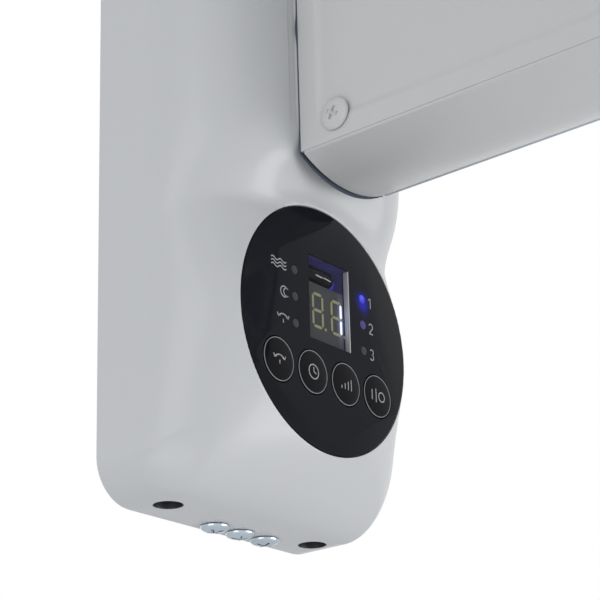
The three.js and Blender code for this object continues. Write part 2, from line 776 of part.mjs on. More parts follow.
function armChannel() {
  const { halfWidth: w, sheet, emboss, embossMargin } = arm;
  const outer = prism('x', armOutline(0, 0), -w, w);
  const inner = prism('x', armOutline(sheet, 5), -w + sheet, w - sheet);
  const fields = [-1, 1].map((side) => {
    const [from, to] = side < 0 ? [-w - 1, -w + emboss] : [w - emboss, w + 1];
    return prism('x', armField(embossMargin), from, to);
  });
  const backing = [-1, 1].map((side) => {
    const [from, to] = side < 0 ? [-w + emboss, -w + sheet + emboss] : [w - sheet - emboss, w - emboss];
    return prism('x', armField(embossMargin), from, to);
  });
  const flanges = [-1, 1].map((side) => sideBox(side, w - arm.flange, w, -arm.rear - sheet, -arm.rear,
    arm.bottom + 4, arm.rearTop - 4));
  const flangeHoles = armBoltPlaces.map(([x, z]) => rod('y', armBolt.radius + 2 * GAP,
    -arm.rear + 2, -arm.rear - 4, [x, z], FACETS.tiny));
  const screwHoles = armScrewPlaces.map((y) => rod('x', armScrew.shank + GAP, -w - 2, w + 2,
    [-y, arm.bottom + armScrew.height]));
  const saddleHoles = saddleBoltPlaces.map((y) => rod('z', saddleBolt.radius + 2 * GAP,
    arm.frontTop - 5, arm.frontTop + 2, [0, -y], FACETS.tiny));
  return cut(join(cut(outer, inner, fields), backing, flanges), flangeHoles, screwHoles, saddleHoles);
}

// Curved floor cover: a shallow arc under the side plates with two lips that stand up inside them
function armFloorCover() {
  const { halfWidth, sheet, emboss, floorSag, floorSheet, lip, bottom, rear, front } = arm;
  const half = halfWidth - 0.4;
  const radius = (half ** 2 + floorSag ** 2) / (2 * floorSag);
  const centre = bottom - GAP - floorSheet - floorSag + radius;
  const reach = Math.asin(half / radius);
  const arc = new THREE.Shape();
  arc.absarc(0, centre, radius, -Math.PI / 2 - reach, -Math.PI / 2 + reach);
  arc.absarc(0, centre, radius - floorSheet, -Math.PI / 2 + reach, -Math.PI / 2 - reach, true);
  arc.closePath();
  const floor = prism('y', arc, -front + sheet, -rear - 3, 8);
  const inside = halfWidth - sheet - emboss - GAP;
  const lips = [-1, 1].map((side) => sideBox(side, inside - floorSheet, inside, -front + 2 * sheet, -rear - 4,
    bottom - 2.2, bottom + lip));
  const holes = armScrewPlaces.map((y) => rod('x', armScrew.shank + GAP, -halfWidth, halfWidth,
    [-y, bottom + armScrew.height]));
  return cut(join(floor, lips), holes);
}

// ---------------------------------------------------------------- tilt and swing joints

// Pressed saddle on the arm's front end with two ears for the tilt bolt
function armSaddle() {
  const base = arm.frontTop + GAP;
  const inner = tilt.barrelHalfLength + RUN;
  const outer = inner + tilt.earThickness;
  const [y0, y1] = [-tilt.depth - tilt.saddleHalfLength, -tilt.depth + tilt.saddleHalfLength];
  const ear = new THREE.Shape();
  const earRadius = tilt.barrelRadius - 1;
  ear.moveTo(y0, base);
  ear.lineTo(y1, base);
  ear.lineTo(y1, base + 6);
  ear.absarc(-tilt.depth, tilt.height, earRadius, 0, Math.PI);
  ear.lineTo(y0, base + 6);
  ear.closePath();
  const block = prism('x', ear, -outer, outer, 8);
  const hollow = box(-inner, inner, y0 - 1, y1 + 1, base + tilt.earThickness, tilt.height + 30);
  const boltHole = rod('x', tilt.boltRadius + GAP, -outer - 1, outer + 1, [-tilt.depth, tilt.height]);
  const holes = saddleBoltPlaces.map((y) => rod('z', saddleBolt.radius + 2 * GAP, base - 1, base + 5,
    [0, -y], FACETS.tiny));
  return cut(block, hollow, boltHole, holes);
}

const linkPivot = [swing.linkOffset, -tilt.depth];
const linkTurn = THREE.MathUtils.degToRad(swing.linkAngle);
const linkEnd = [
  linkPivot[0] + swing.linkLength * Math.cos(linkTurn),
  linkPivot[1] + swing.linkLength * Math.sin(linkTurn),
];
const crankCentre = [0, -tilt.depth + swing.crankOffset];
const linkBottom = swing.flangeTop + GAP;
const linkTop = linkBottom + swing.linkThickness;

// Cast neck: barrel on the tilt bolt, round flange and the upright swing pin
function neck() {
  const barrel = rod('x', tilt.barrelRadius, -tilt.barrelHalfLength, tilt.barrelHalfLength,
    [-tilt.depth, tilt.height], FACETS.medium);
  const bottom = swing.flangeTop - swing.flangeThickness;
  const column = rod('z', 11.5, tilt.height, bottom + 1, [0, -tilt.depth], FACETS.small, 12.5);
  const lug = prism('z', roundedRectangle(0, swing.linkOffset + 5, -tilt.depth - 5, -tilt.depth + 5, 4.5),
    bottom, swing.flangeTop, 3);
  const flange = rod('z', swing.flangeRadius, bottom, swing.flangeTop, [0, -tilt.depth], FACETS.medium);
  const pin = rod('z', swing.pinRadius, swing.flangeTop - 1, swing.sleeveTop + 3, [0, -tilt.depth]);
  const linkPin = rod('z', swing.linkPin, swing.flangeTop - 1, linkTop + 1.5, linkPivot, FACETS.tiny);
  const bore = rod('x', clearOf(tilt.boltRadius + GAP), -30, 30, [-tilt.depth, tilt.height]);
  return cut(join(barrel, column, lug, flange, pin, linkPin), bore);
}

const earOuter = tilt.barrelHalfLength + RUN + tilt.earThickness;

function tiltBolt() {
  const at = [-tilt.depth, tilt.height];
  return join(rod('x', 7.5, -earOuter - GAP - tilt.boltHead, -earOuter - GAP, at, 6),
    rod('x', tilt.boltRadius, -earOuter - GAP - 1, earOuter + GAP + tilt.knobLength - 3, at));
}

// Lobed hand knob on the threaded end of the tilt bolt
function tiltKnob() {
  const lobes = 6;
  const shape = new THREE.Shape();
  const steps = 24;
  for (let i = 0; i < steps; i += 1) {
    const angle = (2 * Math.PI * i) / steps;
    const radius = tilt.knobRadius + tilt.knobLobe * Math.cos(lobes * angle);
    const point = [-tilt.depth + radius * Math.cos(angle), tilt.height + radius * Math.sin(angle)];
    if (i === 0) shape.moveTo(...point);
    else shape.lineTo(...point);
  }
  shape.closePath();
  const start = earOuter + GAP;
  const at = [-tilt.depth, tilt.height];
  const body = join(prism('x', shape, start + 3, start + tilt.knobLength), rod('x', 8, start, start + 4, at));
  const bore = rod('x', clearOf(tilt.boltRadius + GAP), start - 1, start + tilt.knobLength - 3 + GAP, at);
  return cut(body, bore);
}

const plateBottom = swing.sleeveTop;
const plateTop = plateBottom + swing.plateThickness;

// Cast bracket under the motor: sleeve on the swing pin and a plate from the swing motor to the shield
function swingBracket() {
  const sleeveBore = clearOf(swing.pinRadius + GAP);
  const sleeve = turnedUpright([
    [sleeveBore, swing.flangeTop + GAP], [swing.stubRadius, swing.flangeTop + GAP],
    [swing.stubRadius, swing.flangeTop + swing.stubHeight],
    [swing.sleeveRadius, swing.flangeTop + swing.stubHeight + 3],
    [swing.sleeveRadius, plateTop - 1], [sleeveBore, plateTop - 1],
  ], 0, -tilt.depth, FACETS.small);
  const rear = crankCentre[1] + swing.motorRadius - 6;
  const plate = prism('z', roundedRectangle(-swing.plateHalfWidth, swing.plateHalfWidth,
    -motor.coverFront - motor.shieldThickness, rear, 6), plateBottom, plateTop, 2);
  const well = rod('z', clearOf(swing.pinRadius + 4), plateBottom + 0.5, plateTop + 1, [0, -tilt.depth]);
  const bore = rod('z', sleeveBore, swing.flangeTop - 1, plateTop + 1, [0, -tilt.depth]);
  const shaftHole = rod('z', 4, plateBottom - 1, plateTop + 1, crankCentre, FACETS.tiny);
  const screwHoles = shieldScrewPlaces.map(([x, y]) => rod('z', 2 + GAP, plateBottom - 1, plateTop + 1,
    [x, y], FACETS.tiny));
  return cut(join(plate, sleeve), well, bore, shaftHole, screwHoles);
}

const shieldScrewDepth = motor.coverFront + motor.shieldThickness / 2 - 6;
const shieldScrewPlaces = [-9, 9].map((x) => [x, -shieldScrewDepth]);

function swingRetainer() {
  const z = plateBottom + 0.5 + GAP;
  const [inner, outer, thickness] = [swing.pinRadius + GAP, swing.pinRadius + 3.4, 1.4];
  return turnedUpright([
    [inner, z], [outer, z], [outer, z + thickness], [inner, z + thickness],
  ], 0, -tilt.depth);
}

const crankBottom = linkTop + 3;
const crankTop = crankBottom + swing.crankThickness;

function swingMotor() {
  const { motorRadius, linkPin } = swing;
  const body = turnedUpright([
    [0, crankTop + 1], [6, crankTop + 1], [6, crankTop + 2],
    [motorRadius, crankTop + 2], [motorRadius, plateBottom - GAP], [0, plateBottom - GAP],
  ], ...crankCentre, FACETS.medium);
  const shaft = rod('z', linkPin, crankBottom + 0.4, crankTop + 2, crankCentre, FACETS.tiny);
  return join(body, shaft);
}

// Crank disc on the swing motor's shaft with its short pin above the link's eye
function crank() {
  const { crankRadius, linkPin } = swing;
  const disc = rod('z', crankRadius + 4, crankBottom, crankTop, crankCentre, FACETS.medium);
  const pin = rod('z', linkPin, linkTop + 0.6, crankBottom + 1, linkEnd, FACETS.tiny);
  const bore = rod('z', clearOf(linkPin + GAP, FACETS.tiny), crankBottom - 1, crankTop + 1,
    crankCentre, FACETS.tiny);
  return cut(join(disc, pin), bore);
}

function linkRod() {
  const [x0, y0] = linkPivot;
  const width = swing.linkHalfWidth;
  const bar = box(0, swing.linkLength, -width, width, linkBottom, linkTop)
    .rotate([0, 0, swing.linkAngle]).translate([x0, y0, 0]);
  const eyes = [linkPivot, linkEnd].map((at) => rod('z', width + 0.8, linkBottom, linkTop, at));
  const holes = [linkPivot, linkEnd].map((at) => rod('z', clearOf(swing.linkPin + GAP, FACETS.tiny),
    linkBottom - 1, linkTop + 1, at, FACETS.tiny));
  return cut(join(bar, eyes), holes);
}

// ---------------------------------------------------------------- motor

function motorRearCover() {
  const { coverRadius: r, coverWall: w, coverRear, coverFront, coverRounding: c, height } = motor;
  const steps = 3;
  const round = (radius, rear) => Array.from({ length: steps + 1 }, (_, i) => {
    const a = (Math.PI / 2) * (i / steps);
    return [radius - c + c * Math.sin(a), rear - c * (1 - Math.cos(a))];
  });
  const outside = [[0, -coverRear], ...round(r, -coverRear), [r, -coverFront]];
  const inside = [[r - w, -coverFront], ...round(r - w, -coverRear - w).reverse(), [0, -coverRear - w]];
  const shell = turned([...outside, ...inside], 0, height, FACETS.large);
  const slot = box(-1.4, 1.4, -coverRear - 8, -coverRear + 2, height + 14, height + 27);
  return cut(shell, aroundMotorAxis(slot, 6));
}

const shieldRear = motor.coverFront + GAP;
const shieldFront = shieldRear + motor.shieldThickness;
const guardRearPlane = shieldFront + GAP + guard.plateThickness;

// Cast front shield: bearing seat, threaded boss for the guard nut, foot for the swing bracket
function motorFrontShield() {
  const { coverRadius: r, bossRadius, bossLength, bearingRadius, shaftRadius, statorRadius } = motor;
  const { stackFront, height } = motor;
  const bearingRear = shieldRear - 4;
  const bearingFront = bearingRear + motor.bearingLength;
  const disc = turned([
    [shaftRadius + 1, -shieldFront - bossLength], [bossRadius, -shieldFront - bossLength],
    [bossRadius, -shieldFront], [r, -shieldFront], [r, -shieldRear], [statorRadius, -shieldRear],
    [statorRadius, -stackFront - GAP], [statorRadius - 3, -stackFront - GAP], [statorRadius - 3, -shieldRear],
    [bearingRadius + 4, -shieldRear], [bearingRadius + 4, -bearingRear],
    [bearingRadius + GAP, -bearingRear], [bearingRadius + GAP, -bearingFront],
    [shaftRadius + 1, -bearingFront],
  ], 0, height, FACETS.large);
  const foot = box(-swing.plateHalfWidth + 1, swing.plateHalfWidth - 1, -shieldFront, -shieldRear,
    plateTop + GAP, height - r + 8);
  const vent = box(-5, 5, -shieldFront - 1, -shieldRear + 1, height + bossRadius + 6, height + r - 8);
  return cut(join(disc, foot), aroundMotorAxis(vent, 6, 30));
}

const shieldRearDepth = motor.stackRear - 12;

// Pressed cup that holds the rear bearing and stands on the stator
function motorRearShield() {
  const { bearingRadius, shaftRadius, height, statorRadius, stackRear } = motor;
  const rear = shieldRearDepth;
  const seat = -rear + motor.bearingLength;
  return turned([
    [shaftRadius + 1, seat + 2], [bearingRadius + 3, seat + 2],
    [bearingRadius + 3, -rear + 2], [statorRadius - 1, -rear + 2], [statorRadius - 1, -stackRear + GAP],
    [statorRadius - 4, -stackRear + GAP], [statorRadius - 4, -rear], [bearingRadius + GAP, -rear],
    [bearingRadius + GAP, seat + 0.5], [shaftRadius + 1, seat + 0.5],
  ], 0, height, FACETS.medium);
}

// Laminated ring with the winding heads standing out on both sides
function stator() {
  const { statorRadius, rotorRadius, airGap, windingLength, stackRear, stackFront, height } = motor;
  const bore = clearOf(rotorRadius + airGap, FACETS.medium);
  const [front, rear] = [-stackFront - windingLength, -stackRear + windingLength];
  return turned([
    [bore, -stackFront], [bore + 2, -stackFront], [bore + 3, front], [statorRadius - 8, front],
    [statorRadius - 7, -stackFront], [statorRadius, -stackFront], [statorRadius, -stackRear],
    [statorRadius - 7, -stackRear], [statorRadius - 8, rear], [bore + 3, rear],
    [bore + 2, -stackRear], [bore, -stackRear],
  ], 0, height, FACETS.medium);
}

const shaftTip = fanBlade.hubFront + spinner.length - 4;
// Cross pin in the shaft that drives the hub through a slot in its rear face
const drivePin = { radius: 1.2, halfLength: 9, depth: fanBlade.hubRear + 2 };

function rotorShaft() {
  const { rotorRadius, shaftRadius, stackRear, stackFront, height } = motor;
  const body = turned([
    [0, -shaftTip], [shaftRadius, -shaftTip], [shaftRadius, -stackFront - 3],
    [rotorRadius - 4, -stackFront - 3], [rotorRadius, -stackFront],
    [rotorRadius, -stackRear], [rotorRadius - 4, -stackRear + 3],
    [shaftRadius, -stackRear + 3], [shaftRadius, -stackRear + 24], [0, -stackRear + 24],
  ], 0, height, FACETS.medium);
  const { radius, halfLength, depth } = drivePin;
  const pin = rod('x', radius, -halfLength, halfLength, [-depth, height], FACETS.tiny);
  return join(body, pin);
}

function bearing(front) {
  const { shaftRadius, bearingRadius, bearingLength, height } = motor;
  const b = -front + bearingLength - 2 * GAP;
  return turned([
    [shaftRadius + GAP, -front], [bearingRadius, -front], [bearingRadius, b], [shaftRadius + GAP, b],
  ], 0, height, FACETS.medium);
}

// ---------------------------------------------------------------- blades

// One blade as rings across the chord, from the hub to the rounded tip
function blade() {
  const { radius, hubRadius, rootPitch, tipPitch, thickness, sweep, hubRear, hubFront } = fanBlade;
  const [stations, chordSteps] = [7, 4];
  const middleY = -(hubRear + hubFront) / 2;
  const rings = [];
  for (let i = 0; i <= stations; i += 1) {
    const t = i / stations;
    const r = mix(hubRadius - 5, radius, 1 - (1 - t) ** 1.3);
    const swell = 44 + 92 * Math.sin(Math.PI * Math.min(t, 1) * 0.62) ** 0.9;
    const tipRound = quarterRound((t - 0.62) / 0.395);
    const chord = Math.max(swell * tipRound, 12);
    const pitch = THREE.MathUtils.degToRad(mix(rootPitch, tipPitch, t));
    const skew = THREE.MathUtils.degToRad(sweep * t * t);
    const ring = [];
    const at = (s, side) => {
      const along = (s - 0.5) * chord;
      const crown = 1 - (2 * s - 1) ** 2;
      const camber = 0.09 * chord * crown * tipRound;
      const half = (side * thickness * mix(0.4, 1, crown)) / 2;
      const angle = (along * Math.cos(pitch)) / Math.max(r, 60) + skew;
      const depth = middleY + along * Math.sin(pitch) + (camber + half) * Math.cos(pitch);
      return new THREE.Vector3(r * Math.sin(angle), depth, motor.height + r * Math.cos(angle));
    };
    for (let j = 0; j <= chordSteps; j += 1) ring.push(at(j / chordSteps, 1));
    for (let j = chordSteps; j >= 0; j -= 1) ring.push(at(j / chordSteps, -1));
    rings.push(ring);
  }
  return loft(rings);
}

function impeller() {
  const { hubRadius, hubWall, hubRear, hubFront, count } = fanBlade;
  const { shaftRadius, height } = motor;
  const hub = turned([
    [shaftRadius + GAP, -hubFront], [hubRadius / 2, -hubFront], [hubRadius - 5, -hubFront + 2],
    [hubRadius, -hubFront + 8], [hubRadius, -hubRear], [hubRadius - hubWall, -hubRear],
    [hubRadius - hubWall, -hubFront + 9], [11, -hubFront + 6], [10, -hubRear], [shaftRadius + GAP, -hubRear],
  ], 0, height, FACETS.large);
  const blades = aroundMotorAxis(blade(), count);
  const bowl = rod('y', hubRadius - hubWall - 0.1, -hubFront + 9.5, -hubRear + 30, [0, height], FACETS.large);
  const trimmed = blades.map((one) => cut(one, bowl));
  const [reach, half] = [drivePin.halfLength + 1.5, drivePin.radius + 0.4];
  const pinSlot = box(-reach, reach, -drivePin.depth - half, -hubRear + 1, height - half, height + half);
  return cut(join(hub, trimmed), pinSlot);
}

function spinnerNut() {
  const start = fanBlade.hubFront + GAP;
  const { radius, length } = spinner;
  const body = turned([
    [0, -start - length], [radius * 0.55, -start - length + 1.5], [radius * 0.86, -start - length + 7],
    [radius, -start - 4], [radius, -start], [motor.shaftRadius + GAP, -start],
    [motor.shaftRadius + GAP, -shaftTip - GAP], [0, -shaftTip - GAP],
  ], 0, motor.height, FACETS.medium);
  const grip = rod('y', 1.6, -start - 9, -start + 1, [0, motor.height + radius + 0.5], 6);
  return cut(body, aroundMotorAxis(grip, 6));
}

// ---------------------------------------------------------------- guards

// Wires are four sided here, with the same section area as the round wire
const squareWire = Math.sqrt(Math.PI / 2);

// Wire bent in a plane through the motor's axis; path points are [radius, y]
function radialWire(path, radius) {
  const points = path.map(([r, y]) => new THREE.Vector2(r, y));
  const rings = points.map((p, i) => {
    const before = points[Math.max(i - 1, 0)];
    const after = points[Math.min(i + 1, points.length - 1)];
    const along = after.clone().sub(before).normalize();
    const across = new THREE.Vector2(-along.y, along.x);
    return [0, 1, 2, 3].map((k) => {
      const angle = (Math.PI / 2) * (k + 0.5);
      const out = squareWire * radius * Math.cos(angle);
      const aside = squareWire * radius * Math.sin(angle);
      return new THREE.Vector3(aside, p.y + across.y * out, motor.height + p.x + across.x * out);
    });
  });
  return loft(rings);
}

function wireRing(radius, y, wire) {
  const profile = [0, 1, 2, 3].map((k) => {
    const angle = (Math.PI / 2) * (k + 0.5);
    return [radius + squareWire * wire * Math.cos(angle), y + squareWire * wire * Math.sin(angle)];
  });
  return turned(profile, 0, motor.height, FACETS.rim);
}

// Bowl of the rear guard and dome of the front guard as [radius, depth from the wall]
function rearGuardDepth(r) {
  const t = clamp01((r - guard.plateRadius) / (guard.radius - guard.plateRadius));
  return mix(guardRearPlane, guard.rimDepth - guard.rimWire - guard.rimParting, t ** 5);
}

function frontGuardDepth(r) {
  const t = clamp01((r - guard.plateRadius) / (guard.radius - guard.plateRadius));
  const rim = guard.rimDepth + guard.rimWire + guard.rimParting;
  return mix(rim, guard.frontPlane, quarterRound(t ** 1.5));
}

// Radial wires from the centre plate to the rim, with one ring halfway across them
function cage(depthAt) {
  const { plateRadius, midRadius, radius } = guard;
  const radii = [plateRadius - 6, midRadius, mix(midRadius, radius, 0.6), mix(midRadius, radius, 0.88)];
  const path = [...radii.map((r) => [r, -depthAt(r)]), [radius - 1.2, -depthAt(radius)]];
  const wire = radialWire(path, guard.wire);
  const rim = wireRing(guard.radius, -depthAt(guard.radius), guard.rimWire);
  const mid = wireRing(guard.midRadius, -depthAt(guard.midRadius) + guard.wire, guard.wire * 1.1);
  return join(rim, mid, aroundMotorAxis(wire, guard.wires));
}

function rearGuard() {
  const inner = motor.bossRadius + GAP;
  const [front, rear] = [-guardRearPlane - guard.plateThickness, -guardRearPlane + guard.plateThickness];
  const plate = turned([
    [inner, front], [guard.plateRadius, front], [guard.plateRadius, rear], [inner, rear],
  ], 0, motor.height, FACETS.rim);
  return join(plate, cage(rearGuardDepth));
}

function frontGuard() {
  const front = frontGuardDepth(guard.plateRadius);
  const [inner, half] = [guard.plateHole, guard.plateThickness * 0.75];
  const plate = turned([
    [inner, -front - half], [guard.plateRadius, -front - half], [guard.plateRadius, -front + half],
    [inner, -front + half],
  ], 0, motor.height, FACETS.rim);
  return join(plate, cage(frontGuardDepth));
}

function guardCap() {
  const front = frontGuardDepth(guard.plateRadius) + guard.wire + GAP;
  const r = guard.plateRadius + 3;
  return turned([
    [0, -front - 7], [r * 0.5, -front - 6.2], [r * 0.85, -front - 4], [r, -front - 1.5], [r, -front],
    [12, -front], [12, -front + 5], [0, -front + 5],
  ], 0, motor.height, FACETS.large);
}

function guardNutPiece() {
  const start = guardRearPlane + guard.plateThickness + GAP;
  const body = turned([
    [motor.bossRadius + GAP, -start - guardNut.length], [guardNut.radius - 5, -start - guardNut.length],
    [guardNut.radius, -start - 3], [guardNut.radius, -start], [motor.bossRadius + GAP, -start],
  ], 0, motor.height, FACETS.large);
  const grip = rod('y', 2.4, -start - 12, -start + 1, [0, motor.height + guardNut.radius + 0.8], 6);
  return cut(body, aroundMotorAxis(grip, 8));
}

// Clamping band over both rims, split at the bottom between two ears
function rimBandPiece() {
  const { wall, reach, ear, earThickness, split } = rimBand;
  const halfSpan = 2 * guard.rimWire + guard.rimParting + GAP;
  const [rearEdge, frontEdge] = [guard.rimDepth - halfSpan, guard.rimDepth + halfSpan];
  const inner = bandInner;
  const lipRadius = inner - reach;
  const ring = turned([
    [lipRadius, -rearEdge + wall], [inner + wall, -rearEdge + wall], [inner + wall, -frontEdge - wall],
    [lipRadius, -frontEdge - wall], [lipRadius, -frontEdge], [inner, -frontEdge], [inner, -rearEdge],
    [lipRadius, -rearEdge],
  ], 0, motor.height, FACETS.rim);
  const bottom = motor.height - inner - wall;
  const ears = [-1, 1].map((side) => sideBox(side, split / 2, split / 2 + earThickness, -frontEdge, -rearEdge,
    bottom - ear, bottom + 1.2));
  const slit = box(-split / 2, split / 2, -frontEdge - 5, -rearEdge + 5, bottom - ear - 2,
    motor.height - lipRadius + 3);
  const hole = rod('x', rimScrewSize.shank + GAP, -20, 20, [-guard.rimDepth, rimEarHeight], FACETS.tiny);
  return cut(join(ring, ears), slit, hole);
}

// Screw and nut that pull the two ears of the rim band together
const rimScrewSize = {
  shank: 2, headRadius: 3.6, headHeight: 2.4, nutRadius: 3.8, nutHeight: 3.2, beyond: 6,
};
const bandInner = guard.radius + guard.rimWire + 2 * GAP;
const rimEarHeight = motor.height - bandInner - rimBand.wall - rimBand.ear / 2;
const rimEarOuter = rimBand.split / 2 + rimBand.earThickness + GAP;

function rimScrew() {
  const at = [-guard.rimDepth, rimEarHeight];
  const { shank, headRadius, headHeight, beyond } = rimScrewSize;
  const screwHead = rod('x', headRadius, -rimEarOuter - headHeight, -rimEarOuter, at);
  return join(screwHead, rod('x', shank, -rimEarOuter - 1, rimEarOuter + beyond, at, FACETS.tiny));
}

function rimNut() {
  const at = [-guard.rimDepth, rimEarHeight];
  const { shank, nutRadius, nutHeight } = rimScrewSize;
  return cut(rod('x', nutRadius, rimEarOuter, rimEarOuter + nutHeight, at, 6),
    rod('x', shank + GAP, rimEarOuter - 1, rimEarOuter + nutHeight + 1, at, FACETS.tiny));
}

// ---------------------------------------------------------------- assembly

const fan = new THREE.Group();
fan.position.z = -(bracket.bottom + bracket.top) / 2;

const wallSide = new THREE.Group();
wallSide.add(
  piece('wall_bracket', wallBracket(), zinc),
  piece('housing_back', housingBack(), whitePlastic),
  piece('housing_shell', housingShell(), whitePlastic),
  piece('support_frame', supportFrame(), steel),
  piece('control_panel', controlPanel(), glossBlack),
  piece('display_window', displayWindow(), smokedLens),
  piece('display_module', displayModule(), greyPlastic),
  piece('receiver', receiver(), blackPlastic),
  piece('light_guide_left', lightGuide(-1), bluePlastic),
  piece('light_guide_right', lightGuide(1), bluePlastic),
  piece('control_board', controlBoard(), greenBoard),
  piece('power_board', powerBoard(), greenBoard),
  piece('transformer', transformer(), copper),
  piece('motor_capacitor', motorCapacitor(), blackPlastic),
  piece('terminal_block', terminalBlock(), clearPlastic),
);
for (const [name, x] of buttonPlaces) wallSide.add(piece(`button_${name}`, pushButton(x), glossBlack));

floorScrewPlaces.forEach((x, i) => {
  const { headRadius, headHeight, shank, length } = floorScrew;
  const screw = piece(`floor_screw_${i + 1}`, domedScrew(headRadius, headHeight, shank, length), zinc);
  screw.position.set(x, -floorScrew.depth, -GAP);
  wallSide.add(screw);
});

const armGroup = new THREE.Group();
armGroup.add(
  piece('arm_channel', armChannel(), whitePaint),
  piece('arm_floor_cover', armFloorCover(), whitePaint),
);
armBoltPlaces.forEach(([x, z], i) => {
  const { headRadius, headHeight, radius, length } = armBolt;
  const bolt = piece(`arm_bolt_${i + 1}`, hexBolt(headRadius, headHeight, radius, length), zinc);
  bolt.rotation.x = -Math.PI / 2;
  bolt.position.set(x, -arm.rear - arm.sheet - GAP, z);
  armGroup.add(bolt);
});
[-1, 1].forEach((side, s) => armScrewPlaces.forEach((y, i) => {
  const { headRadius, headHeight, shank, length } = armScrew;
  const body = domedScrew(headRadius, headHeight, shank, length);
  const screw = piece(`arm_screw_${s * armScrewPlaces.length + i + 1}`, body, whitePaint);
  screw.rotation.y = (-side * Math.PI) / 2;
  screw.position.set(side * (arm.halfWidth + GAP), -y, arm.bottom + armScrew.height);
  armGroup.add(screw);
}));

const head = new THREE.Group();
head.add(
  piece('arm_saddle', armSaddle(), whitePaint),
  piece('neck', neck(), whitePaint),
  piece('tilt_bolt', tiltBolt(), zinc),
  piece('tilt_knob', tiltKnob(), blackPlastic),
  piece('swing_bracket', swingBracket(), aluminium),
  piece('swing_retainer', swingRetainer(), steel),
  piece('swing_motor', swingMotor(), steel),
  piece('crank', crank(), blackPlastic),
  piece('link_rod', linkRod(), steel),
);
saddleBoltPlaces.forEach((y, i) => {
  const { headRadius, headHeight, radius, length } = saddleBolt;
  const bolt = piece(`saddle_bolt_${i + 1}`, hexBolt(headRadius, headHeight, radius, length), zinc);
  bolt.rotation.x = Math.PI;
  bolt.position.set(0, -y, arm.frontTop + GAP + tilt.earThickness + GAP);
  head.add(bolt);
});

const frontBearing = shieldRear - 4 + motor.bearingLength - GAP;
const rearBearing = shieldRearDepth - 0.5 - GAP;
head.add(
  piece('motor_rear_cover', motorRearCover(), whitePlastic),
  piece('motor_rear_shield', motorRearShield(), aluminium),
  piece('motor_front_shield', motorFrontShield(), aluminium),
  piece('stator', stator(), copper),
  piece('rotor_shaft', rotorShaft(), steel),
  piece('bearing_front', bearing(frontBearing), steel),
  piece('bearing_rear', bearing(rearBearing), steel),
  piece('rear_guard', rearGuard(), whitePaint),
  piece('guard_nut', guardNutPiece(), whitePlastic),
  piece('impeller', impeller(), whitePlastic),
  piece('spinner', spinnerNut(), whitePlastic),
  piece('front_guard', frontGuard(), whitePaint),
  piece('guard_cap', guardCap(), whitePlastic),
  piece('rim_band', rimBandPiece(), whitePlastic),
  piece('rim_screw', rimScrew(), zinc),
  piece('rim_nut', rimNut(), zinc),
);

fan.add(wallSide, armGroup, head);
export default fan;
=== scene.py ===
"""Wall fan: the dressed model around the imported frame.

Lengths in this script are millimetres counted as in the drawing: X to the right, -Y away from
the wall, Z up from the floor of the wall housing. `to_frame` turns them into the frame's metres.
A depth is a distance from the wall, so it lies along -Y.
"""

import json
import math
from functools import partial

import bmesh
import bpy
import numpy as np
from mathutils import Matrix, Vector


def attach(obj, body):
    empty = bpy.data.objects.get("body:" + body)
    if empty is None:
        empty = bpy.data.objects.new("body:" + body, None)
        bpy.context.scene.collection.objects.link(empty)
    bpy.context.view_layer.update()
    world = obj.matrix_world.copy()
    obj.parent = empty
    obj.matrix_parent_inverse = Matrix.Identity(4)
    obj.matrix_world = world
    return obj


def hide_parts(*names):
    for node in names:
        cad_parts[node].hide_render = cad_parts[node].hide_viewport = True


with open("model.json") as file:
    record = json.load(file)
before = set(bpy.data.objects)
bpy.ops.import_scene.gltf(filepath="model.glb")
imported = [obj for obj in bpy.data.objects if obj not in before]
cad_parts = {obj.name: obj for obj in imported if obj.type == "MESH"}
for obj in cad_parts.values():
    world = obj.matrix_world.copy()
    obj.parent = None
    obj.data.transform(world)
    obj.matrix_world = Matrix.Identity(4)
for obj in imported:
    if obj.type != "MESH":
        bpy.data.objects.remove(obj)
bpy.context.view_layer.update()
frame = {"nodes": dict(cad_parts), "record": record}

MM = 0.001
HOUSING_FLOOR = -135.0  # height of the housing's floor in the frame, mm
SIDES = (-1, 1)


def to_frame(points):
    """Millimetres from the housing's floor to metres in the frame."""
    points = np.array(points, float).reshape(-1, 3)
    return (points + [0, 0, HOUSING_FLOOR]) * MM


def new_object(name, data):
    """An object for the data, linked to the scene."""
    thing = bpy.data.objects.new(name, data)
    bpy.context.scene.collection.objects.link(thing)
    return thing


# ---------------------------------------------------------------- sizes that several pieces share

GAP = 0.3  # clearance between neighbours
PANEL_RADIUS, PANEL_HEIGHT, PANEL_DEPTH, PANEL_THICKNESS = 40.4, 56.5, 48.0, 2.7
PANEL_CENTRE = (0, PANEL_HEIGHT)
FASCIA_BACK = PANEL_DEPTH - PANEL_THICKNESS
WINDOW_LEFT, WINDOW_RIGHT, WINDOW_BOTTOM, WINDOW_TOP = -8.4, 12.0, 52.0, 80.0
DISPLAY_TOP = WINDOW_BOTTOM + 0.72 * (WINDOW_TOP - WINDOW_BOTTOM)
DISPLAY_BACK, DIGIT_DEPTH = 38.9, 46.0
LIGHT_ROWS = [72.4, 63.55, 54.7]
LIGHT_COLUMNS = {"left": -15.3, "right": 18.9}
AXIS_HEIGHT = 290.0
AXIS = (0, AXIS_HEIGHT)  # the motor's axis, which runs along Y

# ---------------------------------------------------------------- camera and light

